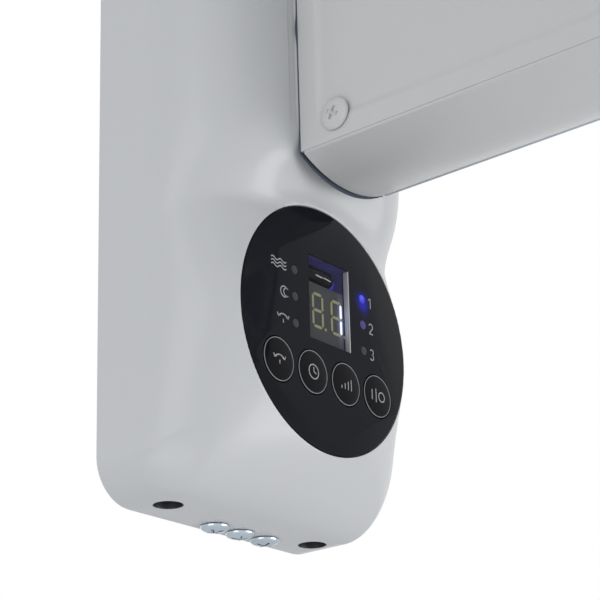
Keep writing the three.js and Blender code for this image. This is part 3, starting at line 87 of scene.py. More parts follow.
FOCAL_PIXELS = 1922.5
IMAGE_PIXELS = 600
SENSOR_WIDTH = 36
CLIP_START, CLIP_END = 0.02, 60
EYE = (-443.63, -395.84, -155.94)
LOOK = Vector((0.73649, 0.59304, 0.32541))
RIGHT = Vector((0.63392, -0.77296, -0.02606))
UP = Vector((-0.23608, -0.22548, 0.94521))
CENTRE_PIXEL = (305.26, 386.66)  # where the line of sight meets the picture
AMBIENT, AMBIENT_COLOUR = 0.61, (0.94, 0.97, 1.0, 1)
FLOOR_HEIGHT, FLOOR_REACH, FLOOR_GREY = -0.62, 7, 0.86  # metres, and the floor's colour
LAMPS = {  # place and width in metres, and watts
    "left_window": ((-2.0, -0.3, 0.4), 1.2, 5),
    "floor_bounce": ((-0.6, -0.12, -0.5), 0.5, 0.8),
    "right_front": ((0.5, -0.9, -0.42), 0.8, 4.6),
}


def make_camera():
    """The photograph's eye; the shift puts the line of sight where the picture has it."""
    data = bpy.data.cameras.new("photo_camera")
    data.sensor_width = SENSOR_WIDTH
    data.lens = SENSOR_WIDTH * FOCAL_PIXELS / IMAGE_PIXELS
    data.shift_x = -(CENTRE_PIXEL[0] - IMAGE_PIXELS / 2) / IMAGE_PIXELS
    data.shift_y = (CENTRE_PIXEL[1] - IMAGE_PIXELS / 2) / IMAGE_PIXELS
    data.clip_start = CLIP_START
    data.clip_end = CLIP_END
    camera = new_object("photo_camera", data)
    turn = Matrix((RIGHT, UP, -LOOK)).transposed().to_4x4()
    camera.matrix_world = Matrix.Translation(Vector(to_frame(EYE)[0])) @ turn
    bpy.context.scene.camera = camera


def make_world():
    """White for the eye, in reflections and through glass, a softer cool white for the light it gives."""
    world = bpy.data.worlds.new("studio")
    world.use_nodes = True
    nodes, links = world.node_tree.nodes, world.node_tree.links
    nodes.clear()
    path = nodes.new("ShaderNodeLightPath")
    seen = path.outputs["Is Camera Ray"]
    for ray in ("Is Glossy Ray", "Is Transmission Ray"):
        either = nodes.new("ShaderNodeMath")
        either.operation = "MAXIMUM"
        links.new(seen, either.inputs[0])
        links.new(path.outputs[ray], either.inputs[1])
        seen = either.outputs[0]
    both = nodes.new("ShaderNodeMixShader")
    links.new(seen, both.inputs[0])
    for socket, colour, strength in ((1, AMBIENT_COLOUR, AMBIENT), (2, (1, 1, 1, 1), 1)):
        light = nodes.new("ShaderNodeBackground")
        light.inputs["Color"].default_value = colour
        light.inputs["Strength"].default_value = strength
        links.new(light.outputs[0], both.inputs[socket])
    out = nodes.new("ShaderNodeOutputWorld")
    links.new(both.outputs[0], out.inputs[0])
    bpy.context.scene.world = world


def make_lamps():
    """Soft round lamps, each aimed at the frame's origin."""
    for name, (place, width, watts) in LAMPS.items():
        data = bpy.data.lights.new(name, "AREA")
        data.shape = "DISK"
        data.size = width
        data.energy = watts
        lamp = new_object(name, data)
        lamp.location = place
        lamp.rotation_euler = (-Vector(place)).to_track_quat("-Z", "Y").to_euler()


def make_floor():
    """Pale round floor far below the fan: level circles from the middle outwards."""
    reach, turn = np.meshgrid(np.linspace(0.01, FLOOR_REACH, 12), circle(64), indexing="ij")
    level = np.full_like(reach, FLOOR_HEIGHT)
    grid = np.stack([reach * np.cos(turn), reach * np.sin(turn), level], axis=-1)
    points, faces = surface(grid, wrap_v=True, cap_start=True)
    mesh = bpy.data.meshes.new("studio_floor")
    mesh.from_pydata(points.tolist(), [], faces)
    floor = new_object("studio_floor", mesh)
    material = bpy.data.materials.new("pale_floor")
    material.use_nodes = True
    shader = material.node_tree.nodes["Principled BSDF"]
    shader.inputs["Base Color"].default_value = (FLOOR_GREY, FLOOR_GREY, FLOOR_GREY, 1)
    shader.inputs["Roughness"].default_value = 0.9
    mesh.materials.append(material)


# ---------------------------------------------------------------- mesh helpers

SHARP = 35  # degrees between two faces, from which the edge between them stays sharp
WELD = 1e-6  # metres between points that become one


def mix(a, b, t):
    """The value at the part t of the way from a to b."""
    return a + (b - a) * t


def quarter_round(t):
    """Height of a quarter circle: one at t = 0, falling to zero at t = 1."""
    return np.sqrt(np.maximum(1 - np.clip(t, 0, 1) ** 2, 0))


def smooth_step(t):
    """Zero below t = 0, one above t = 1, and an S-shaped cubic between."""
    t = np.clip(t, 0, 1)
    return t * t * (3 - 2 * t)


def circle(count):
    """Angles of evenly spaced points on a circle."""
    return np.linspace(0, 2 * math.pi, count, endpoint=False)


def surface(grid, wrap_u=False, wrap_v=False, cap_start=False, cap_end=False):
    """Quads over a grid of points (u, v, 3): wrap joins the last row or column to the first, caps close the
    ends in u."""
    rows, columns = grid.shape[:2]
    index = np.arange(rows * columns).reshape(rows, columns)
    a = index if wrap_u else index[:-1]
    b = np.roll(index, -1, axis=0) if wrap_u else index[1:]
    if wrap_v:
        quads = np.stack([a, np.roll(a, -1, axis=1), np.roll(b, -1, axis=1), b], axis=-1)
    else:
        quads = np.stack([a[:, :-1], a[:, 1:], b[:, 1:], b[:, :-1]], axis=-1)
    faces = quads.reshape(-1, 4).tolist()
    if cap_start:
        faces.append(index[0][::-1].tolist())
    if cap_end:
        faces.append(index[-1].tolist())
    return grid.reshape(-1, 3), faces


def build(name, parts, sharp=SHARP, slots=None):
    """One mesh object from parts, each of points in mm and faces: doubles merged, faces outwards, smooth but
    for sharp edges. `slots` gives the material slot of each part."""
    mesh = bpy.data.meshes.new(name)
    points, faces, marks = [], [], []
    count = 0
    for (own, own_faces), slot in zip(parts, slots or [0] * len(parts)):
        points.append(to_frame(own))
        faces += [[i + count for i in face] for face in own_faces]
        marks += [slot] * len(own_faces)
        count += len(own)
    mesh.from_pydata(np.concatenate(points).tolist(), [], faces)
    mesh.polygons.foreach_set("material_index", marks)
    work = bmesh.new()
    work.from_mesh(mesh)
    bmesh.ops.remove_doubles(work, verts=work.verts, dist=WELD)
    bmesh.ops.recalc_face_normals(work, faces=work.faces)
    work.to_mesh(mesh)
    work.free()
    piece = new_object(name, mesh)
    shade(piece, sharp)
    return piece


def shade(piece, sharp):
    """Smooth faces, with the edges sharp where two faces meet at more than `sharp` degrees."""
    mesh = piece.data
    mesh.polygons.foreach_set("use_smooth", [True] * len(mesh.polygons))
    mesh.set_sharp_from_angle(angle=math.radians(sharp))


def combine(piece, parts, operation="DIFFERENCE", sharp=SHARP):
    """Cuts the parts from the piece one after another, or joins them to it."""
    if not parts:
        return
    tools = [build(f"tool_{i}", [part]) for i, part in enumerate(parts)]
    for tool in tools:
        step = piece.modifiers.new("step", "BOOLEAN")
        step.operation = operation
        step.solver = "MANIFOLD"
        step.object = tool
    graph = bpy.context.evaluated_depsgraph_get()
    finished = bpy.data.meshes.new_from_object(piece.evaluated_get(graph))
    piece.modifiers.clear()
    rough, piece.data = piece.data, finished
    finished.name = piece.name
    bpy.data.meshes.remove(rough)
    for tool in tools:
        bpy.data.objects.remove(tool)
    shade(piece, sharp)


def rounded(corners, radii, steps=5):
    """The polygon's corners replaced by arcs of the given radii."""
    corners = np.array(corners, float)
    radii = np.broadcast_to(radii, len(corners))
    out = []
    for i, corner in enumerate(corners):
        before, after = corners[i - 1], corners[(i + 1) % len(corners)]
        if radii[i] <= 0:
            out.append(corner[None])
            continue
        back = (before - corner) / np.linalg.norm(before - corner)
        ahead = (after - corner) / np.linalg.norm(after - corner)
        half = math.acos(np.clip(back @ ahead, -1, 1)) / 2
        reach = min(radii[i] / math.tan(half), 0.49 * np.linalg.norm(before - corner),
                    0.49 * np.linalg.norm(after - corner))
        radius = reach * math.tan(half)
        middle = corner + (back + ahead) / np.linalg.norm(back + ahead) * radius / math.sin(half)
        first, last = corner + back * reach - middle, corner + ahead * reach - middle
        sweep = math.pi - 2 * half
        t = np.linspace(0, 1, steps + 1)[:, None]
        arc_points = (np.sin((1 - t) * sweep) * first + np.sin(t * sweep) * last) / math.sin(sweep)
        out.append(middle + arc_points)
    return np.concatenate(out)


def rounded_box(a0, a1, b0, b1, radius):
    """Rectangle with round corners."""
    return rounded([(a0, b0), (a1, b0), (a1, b1), (a0, b1)], radius, 6)


def ring_outline(radius, count, centre):
    """Evenly spaced points on a circle."""
    turn = circle(count)
    return np.stack([centre[0] + radius * np.cos(turn), centre[1] + radius * np.sin(turn)], axis=1)


# Axis letter to the order in which (across, over, along) become (x, y, z)
AXES = {"x": (2, 0, 1), "y": (0, 2, 1), "z": (0, 1, 2)}


def along_axis(axis, across, over, along):
    """Puts the three coordinates of a form in the order of the axis it lies along."""
    columns = (across, over, along)
    return np.stack([columns[i] for i in AXES[axis]], axis=-1)


def turned(profile, axis, at, count, closed=True):
    """Surface of revolution: profile points (radius, along) carried round the axis through `at`."""
    profile = np.array(profile, float)
    turn = circle(count)[:, None]
    across = at[0] + profile[None, :, 0] * np.cos(turn)
    over = at[1] + profile[None, :, 0] * np.sin(turn)
    along = np.broadcast_to(profile[None, :, 1], across.shape)
    return surface(along_axis(axis, across, over, along), wrap_u=True, wrap_v=closed)


def lathe(profile, corners, steps, centre, count, closed=True, start=0.0):
    """Surface of revolution about an axis along Y: the profile's points are (radius, depth beyond `start`),
    its corners are rounded by the radii in `corners`. A profile that isn't closed ends on the axis."""
    profile = (np.array(profile, float) + (0, start)) * (1, -1)
    return turned(rounded(profile, corners, steps), "y", centre, count, closed)


def prism(outline, axis, start, end, bevel=0.0, steps=2):
    """Outline (across, over) carried along the axis, with its two edges rounded by `bevel`."""
    outline = np.array(outline, float)
    ahead = np.roll(outline, -1, axis=0) - outline
    ahead /= np.linalg.norm(ahead, axis=1)[:, None] + 1e-12
    behind = np.roll(ahead, 1, axis=0)
    after = np.roll(outline, -1, axis=0)
    area = np.sum(outline[:, 0] * after[:, 1] - after[:, 0] * outline[:, 1])
    tangent = ahead + behind
    tangent /= np.linalg.norm(tangent, axis=1)[:, None] + 1e-12
    inward = np.stack([-tangent[:, 1], tangent[:, 0]], axis=1) * np.sign(area)
    inward /= np.maximum(np.abs(np.sum(tangent * ahead, axis=1)), 0.5)[:, None]
    low, high = min(start, end), max(start, end)
    if bevel > 0:
        t = np.linspace(0, math.pi / 2, steps + 1)
        inset = bevel * (1 - np.sin(t))
        place = bevel * (1 - np.cos(t))
        levels = [(i, low + p) for i, p in zip(inset, place)]
        levels += [(i, high - p) for i, p in zip(inset[::-1], place[::-1])]
    else:
        levels = [(0, low), (0, high)]
    grid = np.stack([along_axis(axis, *(outline + inward * i).T, np.full(len(outline), level))
                     for i, level in levels])
    return surface(grid, wrap_v=True, cap_start=True, cap_end=True)


def slab(x0, x1, y0, y1, z0, z1, radius=0.0, bevel=0.0, axis="y"):
    """Box between two corners with round edges along one axis and small bevels on the others."""
    spans = {"z": (x0, x1, y0, y1, z0, z1), "y": (x0, x1, z0, z1, y0, y1), "x": (y0, y1, z0, z1, x0, x1)}
    a0, a1, b0, b1, start, end = spans[axis]
    return prism(rounded_box(a0, a1, b0, b1, radius), axis, start, end, bevel)


def both_sides(inner, outer, *rest, **way):
    """A slab that reaches from `inner` to `outer` on the left, and its mirror image on the right."""
    return [slab(*sorted((side * inner, side * outer)), *rest, **way) for side in SIDES]


def rod(axis, radius, start, end, at, count=32, bevel=0.0):
    """Round bar with slightly rounded ends, closed at the poles."""
    low, high = min(start, end), max(start, end)
    profile = rounded([(0, low), (radius, low), (radius, high), (0, high)], [0, bevel, bevel, 0], 3)
    return turned(profile, axis, at, count, closed=False)


def torus(radius, y, wire, centre, count, sides):
    """Ring of round wire about an axis along Y."""
    turn = circle(sides)
    profile = np.stack([radius + wire * np.cos(turn), y + wire * np.sin(turn)], axis=1)
    return turned(profile, "y", centre, count)


def carried(path, radius):
    """Round wire along a path: a circle carried on frames that don't twist."""
    path = np.array(path, float)
    tangent = np.gradient(path, axis=0)
    tangent /= np.linalg.norm(tangent, axis=1)[:, None]
    helper = np.array([0, 0, 1.0]) if abs(tangent[0, 2]) < 0.9 else np.array([1.0, 0, 0])
    side = np.cross(tangent, helper)
    side /= np.linalg.norm(side, axis=1)[:, None]
    over = np.cross(side, tangent)
    turn = circle(8)[None, :, None]
    grid = path[:, None] + radius * (np.cos(turn) * side[:, None] + np.sin(turn) * over[:, None])
    return surface(grid, wrap_v=True, cap_start=True, cap_end=True)


def around(part, count):
    """Copies of the part, spaced evenly round the motor's axis."""
    points, faces = part
    x, z = points[:, 0], points[:, 2] - AXIS_HEIGHT
    copies = []
    for i in range(count):
        angle = 2 * math.pi * i / count
        c, s = math.cos(angle), math.sin(angle)
        copies.append((np.stack([c * x + s * z, points[:, 1], -s * x + c * z + AXIS_HEIGHT], axis=1), faces))
    return copies


# ---------------------------------------------------------------- materials

COAT_ROUGHNESS, LEAST_ROUGHNESS, GRAIN_HEIGHT = 0.08, 0.02, 0.0004  # the last in metres


def finish(name, colour, roughness, metal=0.0, coat=0.0, specular=0.5, grain=900, grain_depth=0.02, cloud=14,
           cloud_depth=0.04, gloss_spread=0.05, emission=None):
    """Procedural finish: broad clouding of the colour, a fine grain in the bump, an uneven gloss."""
    material = bpy.data.materials.new(name)
    material.use_nodes = True
    nodes, links = material.node_tree.nodes, material.node_tree.links
    shader = nodes["Principled BSDF"]
    shader.inputs["Metallic"].default_value = metal
    shader.inputs["Coat Weight"].default_value = coat
    shader.inputs["Coat Roughness"].default_value = COAT_ROUGHNESS
    shader.inputs["Specular IOR Level"].default_value = specular
    place = nodes.new("ShaderNodeTexCoord")

    def noise(scale, detail):
        node = nodes.new("ShaderNodeTexNoise")
        node.inputs["Scale"].default_value = scale
        node.inputs["Detail"].default_value = detail
        links.new(place.outputs["Object"], node.inputs["Vector"])
        return node.outputs["Fac"]

    clouds = nodes.new("ShaderNodeMix")
    clouds.data_type = "RGBA"
    clouds.inputs["A"].default_value = [c * (1 - cloud_depth) for c in colour] + [1]
    clouds.inputs["B"].default_value = [min(c * (1 + cloud_depth), 1) for c in colour] + [1]
    links.new(noise(cloud, 3), clouds.inputs["Factor"])
    links.new(clouds.outputs["Result"], shader.inputs["Base Color"])
    gloss = nodes.new("ShaderNodeMapRange")
    gloss.inputs["To Min"].default_value = max(roughness - gloss_spread, LEAST_ROUGHNESS)
    gloss.inputs["To Max"].default_value = roughness + gloss_spread
    links.new(noise(cloud * 5, 4), gloss.inputs["Value"])
    links.new(gloss.outputs["Result"], shader.inputs["Roughness"])
    bump = nodes.new("ShaderNodeBump")
    bump.inputs["Strength"].default_value = grain_depth
    bump.inputs["Distance"].default_value = GRAIN_HEIGHT
    links.new(noise(grain, 2), bump.inputs["Height"])
    links.new(bump.outputs["Normal"], shader.inputs["Normal"])
    if emission:
        shader.inputs["Emission Color"].default_value = (*emission[0], 1)
        shader.inputs["Emission Strength"].default_value = emission[1]
    return material


def gloss_black(name, colour=(0.0115, 0.012, 0.016), roughness=0.045, specular=0.05, cloud=26):
    """Polished black plastic with an almost even gloss."""
    return finish(name, colour, roughness, specular=specular, cloud=cloud, cloud_depth=0.3,
                  gloss_spread=0.01, grain_depth=0.004)


def glass(name, tint, alpha):
    """Clear pane: mostly see-through, with the reflections of its polished face."""
    material = finish(name, tint, 0.03, specular=0.15, gloss_spread=0.0, grain_depth=0.0)
    material.node_tree.nodes["Principled BSDF"].inputs["Alpha"].default_value = alpha
    return material


def spill(material, *spots):
    """Light that spills over a face, painted as emission: each spot is its colour times the bell curve of the
    distance from its centre, counted in the spot's own widths along X, Y and Z; the spots are summed."""
    nodes, links = material.node_tree.nodes, material.node_tree.links
    place = nodes.new("ShaderNodeTexCoord")

    def vector(operation, first, second):
        node = nodes.new("ShaderNodeVectorMath")
        node.operation = operation
        links.new(first, node.inputs[0])
        if isinstance(second, bpy.types.NodeSocket):
            links.new(second, node.inputs[1])
        else:
            node.inputs[1].default_value = second
        return node.outputs

    def number(operation, first, second=0.0):
        node = nodes.new("ShaderNodeMath")
        node.operation = operation
        links.new(first, node.inputs[0])
        node.inputs[1].default_value = second
        return node.outputs[0]

    total = None
    for centre, widths, colour in spots:
        away = vector("SUBTRACT", place.outputs["Object"], to_frame(centre)[0])["Vector"]
        away = vector("DIVIDE", away, [w * MM for w in widths])["Vector"]
        squared = vector("DOT_PRODUCT", away, away)["Value"]
        bell = number("EXPONENT", number("MULTIPLY", squared, -0.5))
        tinted = vector("MULTIPLY", bell, colour)["Vector"]
        total = tinted if total is None else vector("ADD", total, tinted)["Vector"]
    shader = nodes["Principled BSDF"]
    links.new(total, shader.inputs["Emission Color"])
    shader.inputs["Emission Strength"].default_value = 1.0
    return material


WHITE_PLASTIC = finish("white_moulded_plastic", (0.60, 0.605, 0.615), 0.36, coat=0.15, cloud_depth=0.012)
WHITE_PAINT = finish("white_powder_coat", (0.60, 0.602, 0.605), 0.34, grain=520, grain_depth=0.10,
                     cloud_depth=0.02)
GLOSS_BLACK = gloss_black("gloss_black_fascia")
KEY_BLACK = gloss_black("gloss_black_keys", (0.005, 0.0053, 0.007), 0.06, 0.06, 60)
# Thin grey ring round each key's edge.
KEY_EDGE_GREY = finish("grey_key_edge_ring", (0.24, 0.25, 0.265), 0.4)
# Painted glint: a bright glowing finish for the strip that stands for the receiver eye's highlight.
GLINT_PAINT = finish("painted_glint", (0.80, 0.80, 0.82), 0.3, emission=((0.5, 0.5, 0.52), 0.5))
PRINT = finish("pale_grey_print", (0.36, 0.36, 0.39), 0.5)
ZINC = finish("bright_zinc", (0.70, 0.78, 0.85), 0.24, metal=1.0, grain=1500, grain_depth=0.15, cloud=120,
              cloud_depth=0.14, gloss_spread=0.10)
STEEL = finish("bare_steel", (0.50, 0.51, 0.53), 0.36, metal=1.0, grain=1200, grain_depth=0.1,
               cloud_depth=0.08)
ALUMINIUM = finish("cast_aluminium", (0.56, 0.57, 0.58), 0.48, metal=0.9, grain=700, grain_depth=0.35,
                   cloud=60, cloud_depth=0.08)
BLACK_PLASTIC = finish("black_plastic", (0.02, 0.02, 0.022), 0.42, grain=800, grain_depth=0.12)
GREY_FACE = finish("grey_display_face", (0.085, 0.09, 0.095), 0.45, specular=0.2)
BOARD_GREEN = finish("circuit_board_green", (0.03, 0.16, 0.06), 0.4)
COPPER = finish("varnished_copper", (0.38, 0.15, 0.06), 0.32, metal=0.7, grain=300, grain_depth=0.6)
PALE_PLASTIC = finish("pale_plastic", (0.66, 0.67, 0.65), 0.45)
CLEAR_GUIDE = finish("clear_light_guide", (0.5, 0.6, 0.7), 0.25)
PANE = glass("clear_window", (0.02, 0.02, 0.024), 0.14)
SEGMENT_OFF = finish("digit_segment_off", (0.50, 0.50, 0.26), 0.5)
SEGMENT_ON = finish("digit_segment_on", (0.9, 0.9, 0.95), 0.5, emission=((0.80, 0.84, 1.0), 1.15))
BLUE_GLOW = finish("blue_lit_disc", (0.03, 0.03, 0.2), 0.4, specular=0.2,
                   emission=((0.045, 0.04, 0.50), 0.8))
# Painted blue light: the backing behind the window glows by emission for the blue light inside the window.
BACKING_BLUE_GLOW = finish("backing_painted_blue_glow", (0.03, 0.03, 0.06), 0.5, specular=0.1, cloud=120,
                    cloud_depth=0.3, emission=((0.020, 0.018, 0.062), 1.0))
BLUE_CEILING = finish("blue_lit_ceiling", (0.03, 0.03, 0.08), 0.4, specular=0.1,
                      emission=((0.012, 0.011, 0.055), 1.0))
LIGHT_FAINT = finish("blue_light_faint", (0.02, 0.02, 0.05), 0.3, specular=0.2,
                     emission=((0.032, 0.028, 0.14), 1.0))
LIGHT_OFF = finish("light_off", (0.035, 0.035, 0.045), 0.3, specular=0.2)
# Dark foam whose navy colour is partly painted shadow of the gap between the arm and the housing.
FOAM_AND_GAP_SHADOW = finish("dark_foam_and_gap_shadow", (0.085, 0.100, 0.135), 0.8, specular=0.1, grain=1400, grain_depth=0.6)
# Grey strip along the cover's right edge: painted shade of the cover's far edge.
EDGE_SHADE_GREY = finish("grey_painted_edge_shade", (0.50, 0.54, 0.60), 0.6, specular=0.2, grain=900, grain_depth=0.3)

# Finishes with spots of light given as emission: centre and widths of each spot in millimetres, and its
# colour. The lit light glows itself; the spots on the fascia, the window strip and the display face are
# painted light.
LIT_X, LIT_Z = LIGHT_COLUMNS["right"], LIGHT_ROWS[0]
# Painted blue halo of the lit light on the fascia.
LIT_FASCIA = spill(
    gloss_black("gloss_black_fascia_with_spill"),
    ((LIT_X, -PANEL_DEPTH, LIT_Z - 0.8), (1.6, 3, 1.6), (0.01, 0.012, 0.39)),
    ((LIT_X + 0.7, -PANEL_DEPTH, LIT_Z - 2.8), (1.5, 3, 1.6), (0.004, 0.004, 0.10)))
LIGHT_BRIGHT = spill(
    finish("blue_light_bright", (0.02, 0.02, 0.10), 0.3, specular=0.2),
    ((LIT_X - 0.4, -PANEL_DEPTH, LIT_Z + 0.5), (0.9, 3, 0.9), (0.07, 0.07, 0.80)),
    ((LIT_X, -PANEL_DEPTH, LIT_Z), (3, 3, 3), (0.006, 0.007, 0.22)))
# Painted light on the window strip: a blue streak and a faint glow down its length.
PALE_STRIP = spill(
    finish("pale_window_strip", (0.60, 0.60, 0.61), 0.4, specular=0.3, grain=1600, grain_depth=0.5),
    ((WINDOW_RIGHT - 0.2, -46.8, 63.2), (1, 2, 3.6), (0.02, 0.03, 0.10)),
    ((WINDOW_RIGHT - 0.2, -46.8, 66.0), (2, 3, 40), (0.03, 0.03, 0.03)))
# Painted blue streak of light on the display face.
LIT_FACE = spill(
    finish("display_face_with_spill", (0.075, 0.08, 0.085), 0.45, specular=0.2),
    ((9.7, -DIGIT_DEPTH, 63.0), (0.85, 3, 4.4), (0.20, 0.22, 0.42)))

CAD_FINISH = {
    "zinc": ZINC, "white_plastic": WHITE_PLASTIC, "white_paint": WHITE_PAINT, "steel": STEEL,
    "gloss_black": GLOSS_BLACK, "smoked_lens": GLOSS_BLACK, "grey_plastic": GREY_FACE,
    "black_plastic": BLACK_PLASTIC, "light_plastic": CLEAR_GUIDE, "board_green": BOARD_GREEN,
    "copper": COPPER, "pale_plastic": PALE_PLASTIC, "aluminium": ALUMINIUM,
}


def paint(piece, *materials):
    """Puts the materials in the piece's slots. Slots are only cleared if there are any, because clearing
    sets the faces' slot numbers back."""
    if piece.data.materials:
        piece.data.materials.clear()
    for material in materials:
        piece.data.materials.append(material)


def dress_cad_nodes():
    """Every node that stays in view gets the finish of its material slot."""
    for part in frame["record"]["subparts"]:
        paint(frame["nodes"][part["node"]], CAD_FINISH[part["material_slot"]])


def hand_over(piece, body, slot, replaced=(), materials=()):
    """A finished piece takes its materials, or else the finish of its slot, and its body; the nodes it stands
    for are hidden.
    """
    paint(piece, *(materials or (CAD_FINISH[slot],)))
    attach(piece, body)
    if replaced:
        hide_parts(*replaced)


def add(body, name, parts, slot, replaced=(), materials=(), joined=(), cut=(), sharp=SHARP, slots=None):
    """A piece built from its parts, with others joined to it and then cut from it, and handed over."""
    piece = build(name, parts, sharp, slots)
    combine(piece, joined, "UNION", sharp)
    combine(piece, cut, "DIFFERENCE", sharp)
    hand_over(piece, body, slot, replaced, materials)


on_wall = partial(add, "wall_unit")
on_head = partial(add, "head")
on_rotor = partial(add, "rotor")

# ---------------------------------------------------------------- wall housing

HALF_WIDTH, HEIGHT, CORNER, WALL = 53.0, 236.0, 14.0, 2.7
LOWER_SIDE, UPPER_SIDE, FLOOR_DEPTH, TOP_DEPTH = 19.5, 19.4, 20.0, 22.0
SIDE_START, TOP_ROUNDING = 45.0, 46.0
ROLL_START, CORNER_DIP, DIP_START, DIP_WIDTH, DIP_HEIGHT = 0.8, 6.5, 40.5, 9.0, 40.0
ARM_DEPTH, ARM_FACE_HALF = 56.0, 22.0
BULGE_FOOT, BULGE_RISE, VALLEY, PANEL_BLEND = 83.5, 33.6, 5.4, 18.0
GROOVE_INNER, GROOVE_OUTER, GROOVE_BOTTOM, GROOVE_TOP, GROOVE_DEPTH = 21.3, 25.2, 112.0, 196.0, 0.4
INNER_STEP, OUTER_STEP, BOTTOM_FADE, TOP_FADE = 0.5, 0.6, 12.0, 6.0
GROOVE_COLUMNS = np.linspace(20.9, 25.6, 26)  # where the skin has extra points for the groove
PANEL_LEDGE, LEDGE_WIDTH, LEDGE_THICKNESS, SKIN_REACH = 2.6, 2.5, 3.0, 66.0
ARM_PORT = (-20, 20, -61, -44, 112, 180)
FLOOR_HOLES = [(side * 34.4, -12.0) for side in SIDES]
FLOOR_HOLE_RADIUS, FLANGE_SEAT_RADIUS, SCREW_HOLE_RADIUS = 4.75, 7.5, 1.9
FLOOR_SCREWS = [(-6.6 + 11.9 * i, -6.0) for i in range(3)]


def to_outline(side, upright):
    """Distance from the panel's middle to the outline of the lower body, a rectangle with round corners, in
    the direction (side, upright)."""
    straight = 1 / np.maximum(side / HALF_WIDTH, upright / PANEL_HEIGHT)
    across, down = HALF_WIDTH - CORNER, PANEL_HEIGHT - CORNER
    toward = side * across + upright * down
    under_root = toward ** 2 - across ** 2 - down ** 2 + CORNER ** 2
    in_corner = (straight * side > across) & (straight * upright > down) & (under_root > 0)
    return np.where(in_corner, toward + np.sqrt(np.maximum(under_root, 0)), straight)


def lower_depth(x, z):
    """Depth of the lower body: flat inside the panel's circle, then a quarter ellipse down to the edge, which
    is shallower at the two bottom corners."""
    up = z - PANEL_HEIGHT
    distance = np.maximum(np.hypot(x, up), 1e-6)
    edge = to_outline(np.abs(x) / distance, np.abs(up) / distance)
    t = np.clip((distance - PANEL_RADIUS) / (edge - PANEL_RADIUS), 0, 1)
    edge_depth = mix(FLOOR_DEPTH, LOWER_SIDE, smooth_step(z / SIDE_START))
    dip = smooth_step((np.abs(x) - DIP_START) / DIP_WIDTH) * smooth_step((DIP_HEIGHT - z) / DIP_HEIGHT)
    edge_depth = edge_depth - CORNER_DIP * dip
    roll = quarter_round(mix(ROLL_START, 1, t)) / quarter_round(ROLL_START)
    return np.where(distance <= PANEL_RADIUS, PANEL_DEPTH, mix(edge_depth, PANEL_DEPTH, roll))


def upper_depth(x, z):
    """Depth of the upper body: an arch from side to side with a flat face for the arm."""
    across = (np.abs(x) - ARM_FACE_HALF) / (HALF_WIDTH - ARM_FACE_HALF)
    rise = quarter_round(1 - np.clip((z - BULGE_FOOT) / BULGE_RISE, 0, 1))
    depth = mix(UPPER_SIDE, ARM_DEPTH, quarter_round(across) * rise)
    return np.where(z < BULGE_FOOT, 0, depth)


def arm_groove(x, z):
    """Flat groove on both sides of the arm: a step down, its floor and a step up, fading at its ends."""
    x = np.abs(x)
    beside = smooth_step((x - GROOVE_INNER) / INNER_STEP) * smooth_step((GROOVE_OUTER - x) / OUTER_STEP)
    fade = smooth_step((z - GROOVE_BOTTOM) / BOTTOM_FADE) * smooth_step((GROOVE_TOP - z) / TOP_FADE)
    return GROOVE_DEPTH * beside * fade


def housing_depth(x, z):
    """Depth of the whole front: the deeper of the two bodies, with a valley rounded in between by a parabola,
    kept off the panel's circle, rolled off at the top, less the groove."""
    lower, upper = lower_depth(x, z), upper_depth(x, z)
    h = np.maximum(VALLEY - np.abs(lower - upper), 0) / VALLEY
    swelling = np.maximum(lower, upper) + h * h * VALLEY / 4
    beyond_panel = smooth_step((np.hypot(x, z - PANEL_HEIGHT) - PANEL_RADIUS) / PANEL_BLEND)
    front = np.minimum(swelling, mix(PANEL_DEPTH, swelling, beyond_panel))
    toward_top = (z - (HEIGHT - TOP_ROUNDING)) / TOP_ROUNDING
    return mix(TOP_DEPTH, front, quarter_round(toward_top)) - arm_groove(x, z)


def half_width(z, inset):
    """Half the housing's width: straight sides, and a quarter circle at the bottom and at the top."""
    radius = CORNER - inset
    to_end = np.clip(np.minimum(z - inset, HEIGHT - inset - z), 0, radius)
    return HALF_WIDTH - inset - radius + np.sqrt(radius ** 2 - (radius - to_end) ** 2)


def housing_form(inset, across, rows, back):
    """Rings at rising heights: two corners at the back, then the front from side to side."""
    u = np.linspace(0, 1, rows + 1)[:, None]
    level = mix(u, (1 - np.cos(math.pi * u)) / 2, 0.8)
    z = inset + (HEIGHT - 2 * inset) * level
    w = half_width(z, inset)
    swing = np.sin(math.pi / 2 * np.linspace(-1, 1, across + 1))
    if inset == 0:
        groove = GROOVE_COLUMNS / HALF_WIDTH
        swing = np.sort(np.concatenate([swing, groove, -groove]))
    x = w * swing[None, :]
    y = inset - housing_depth(x * (w + inset) / w, HEIGHT * level)
    front = np.stack([x, y, np.broadcast_to(z, x.shape)], axis=-1)
    corners = np.stack([np.concatenate([w, -w], axis=1), np.full((rows + 1, 2), float(back)),
                        np.concatenate([z, z], axis=1)], axis=-1)
    return surface(np.concatenate([corners, front], axis=1), wrap_v=True, cap_start=True, cap_end=True)


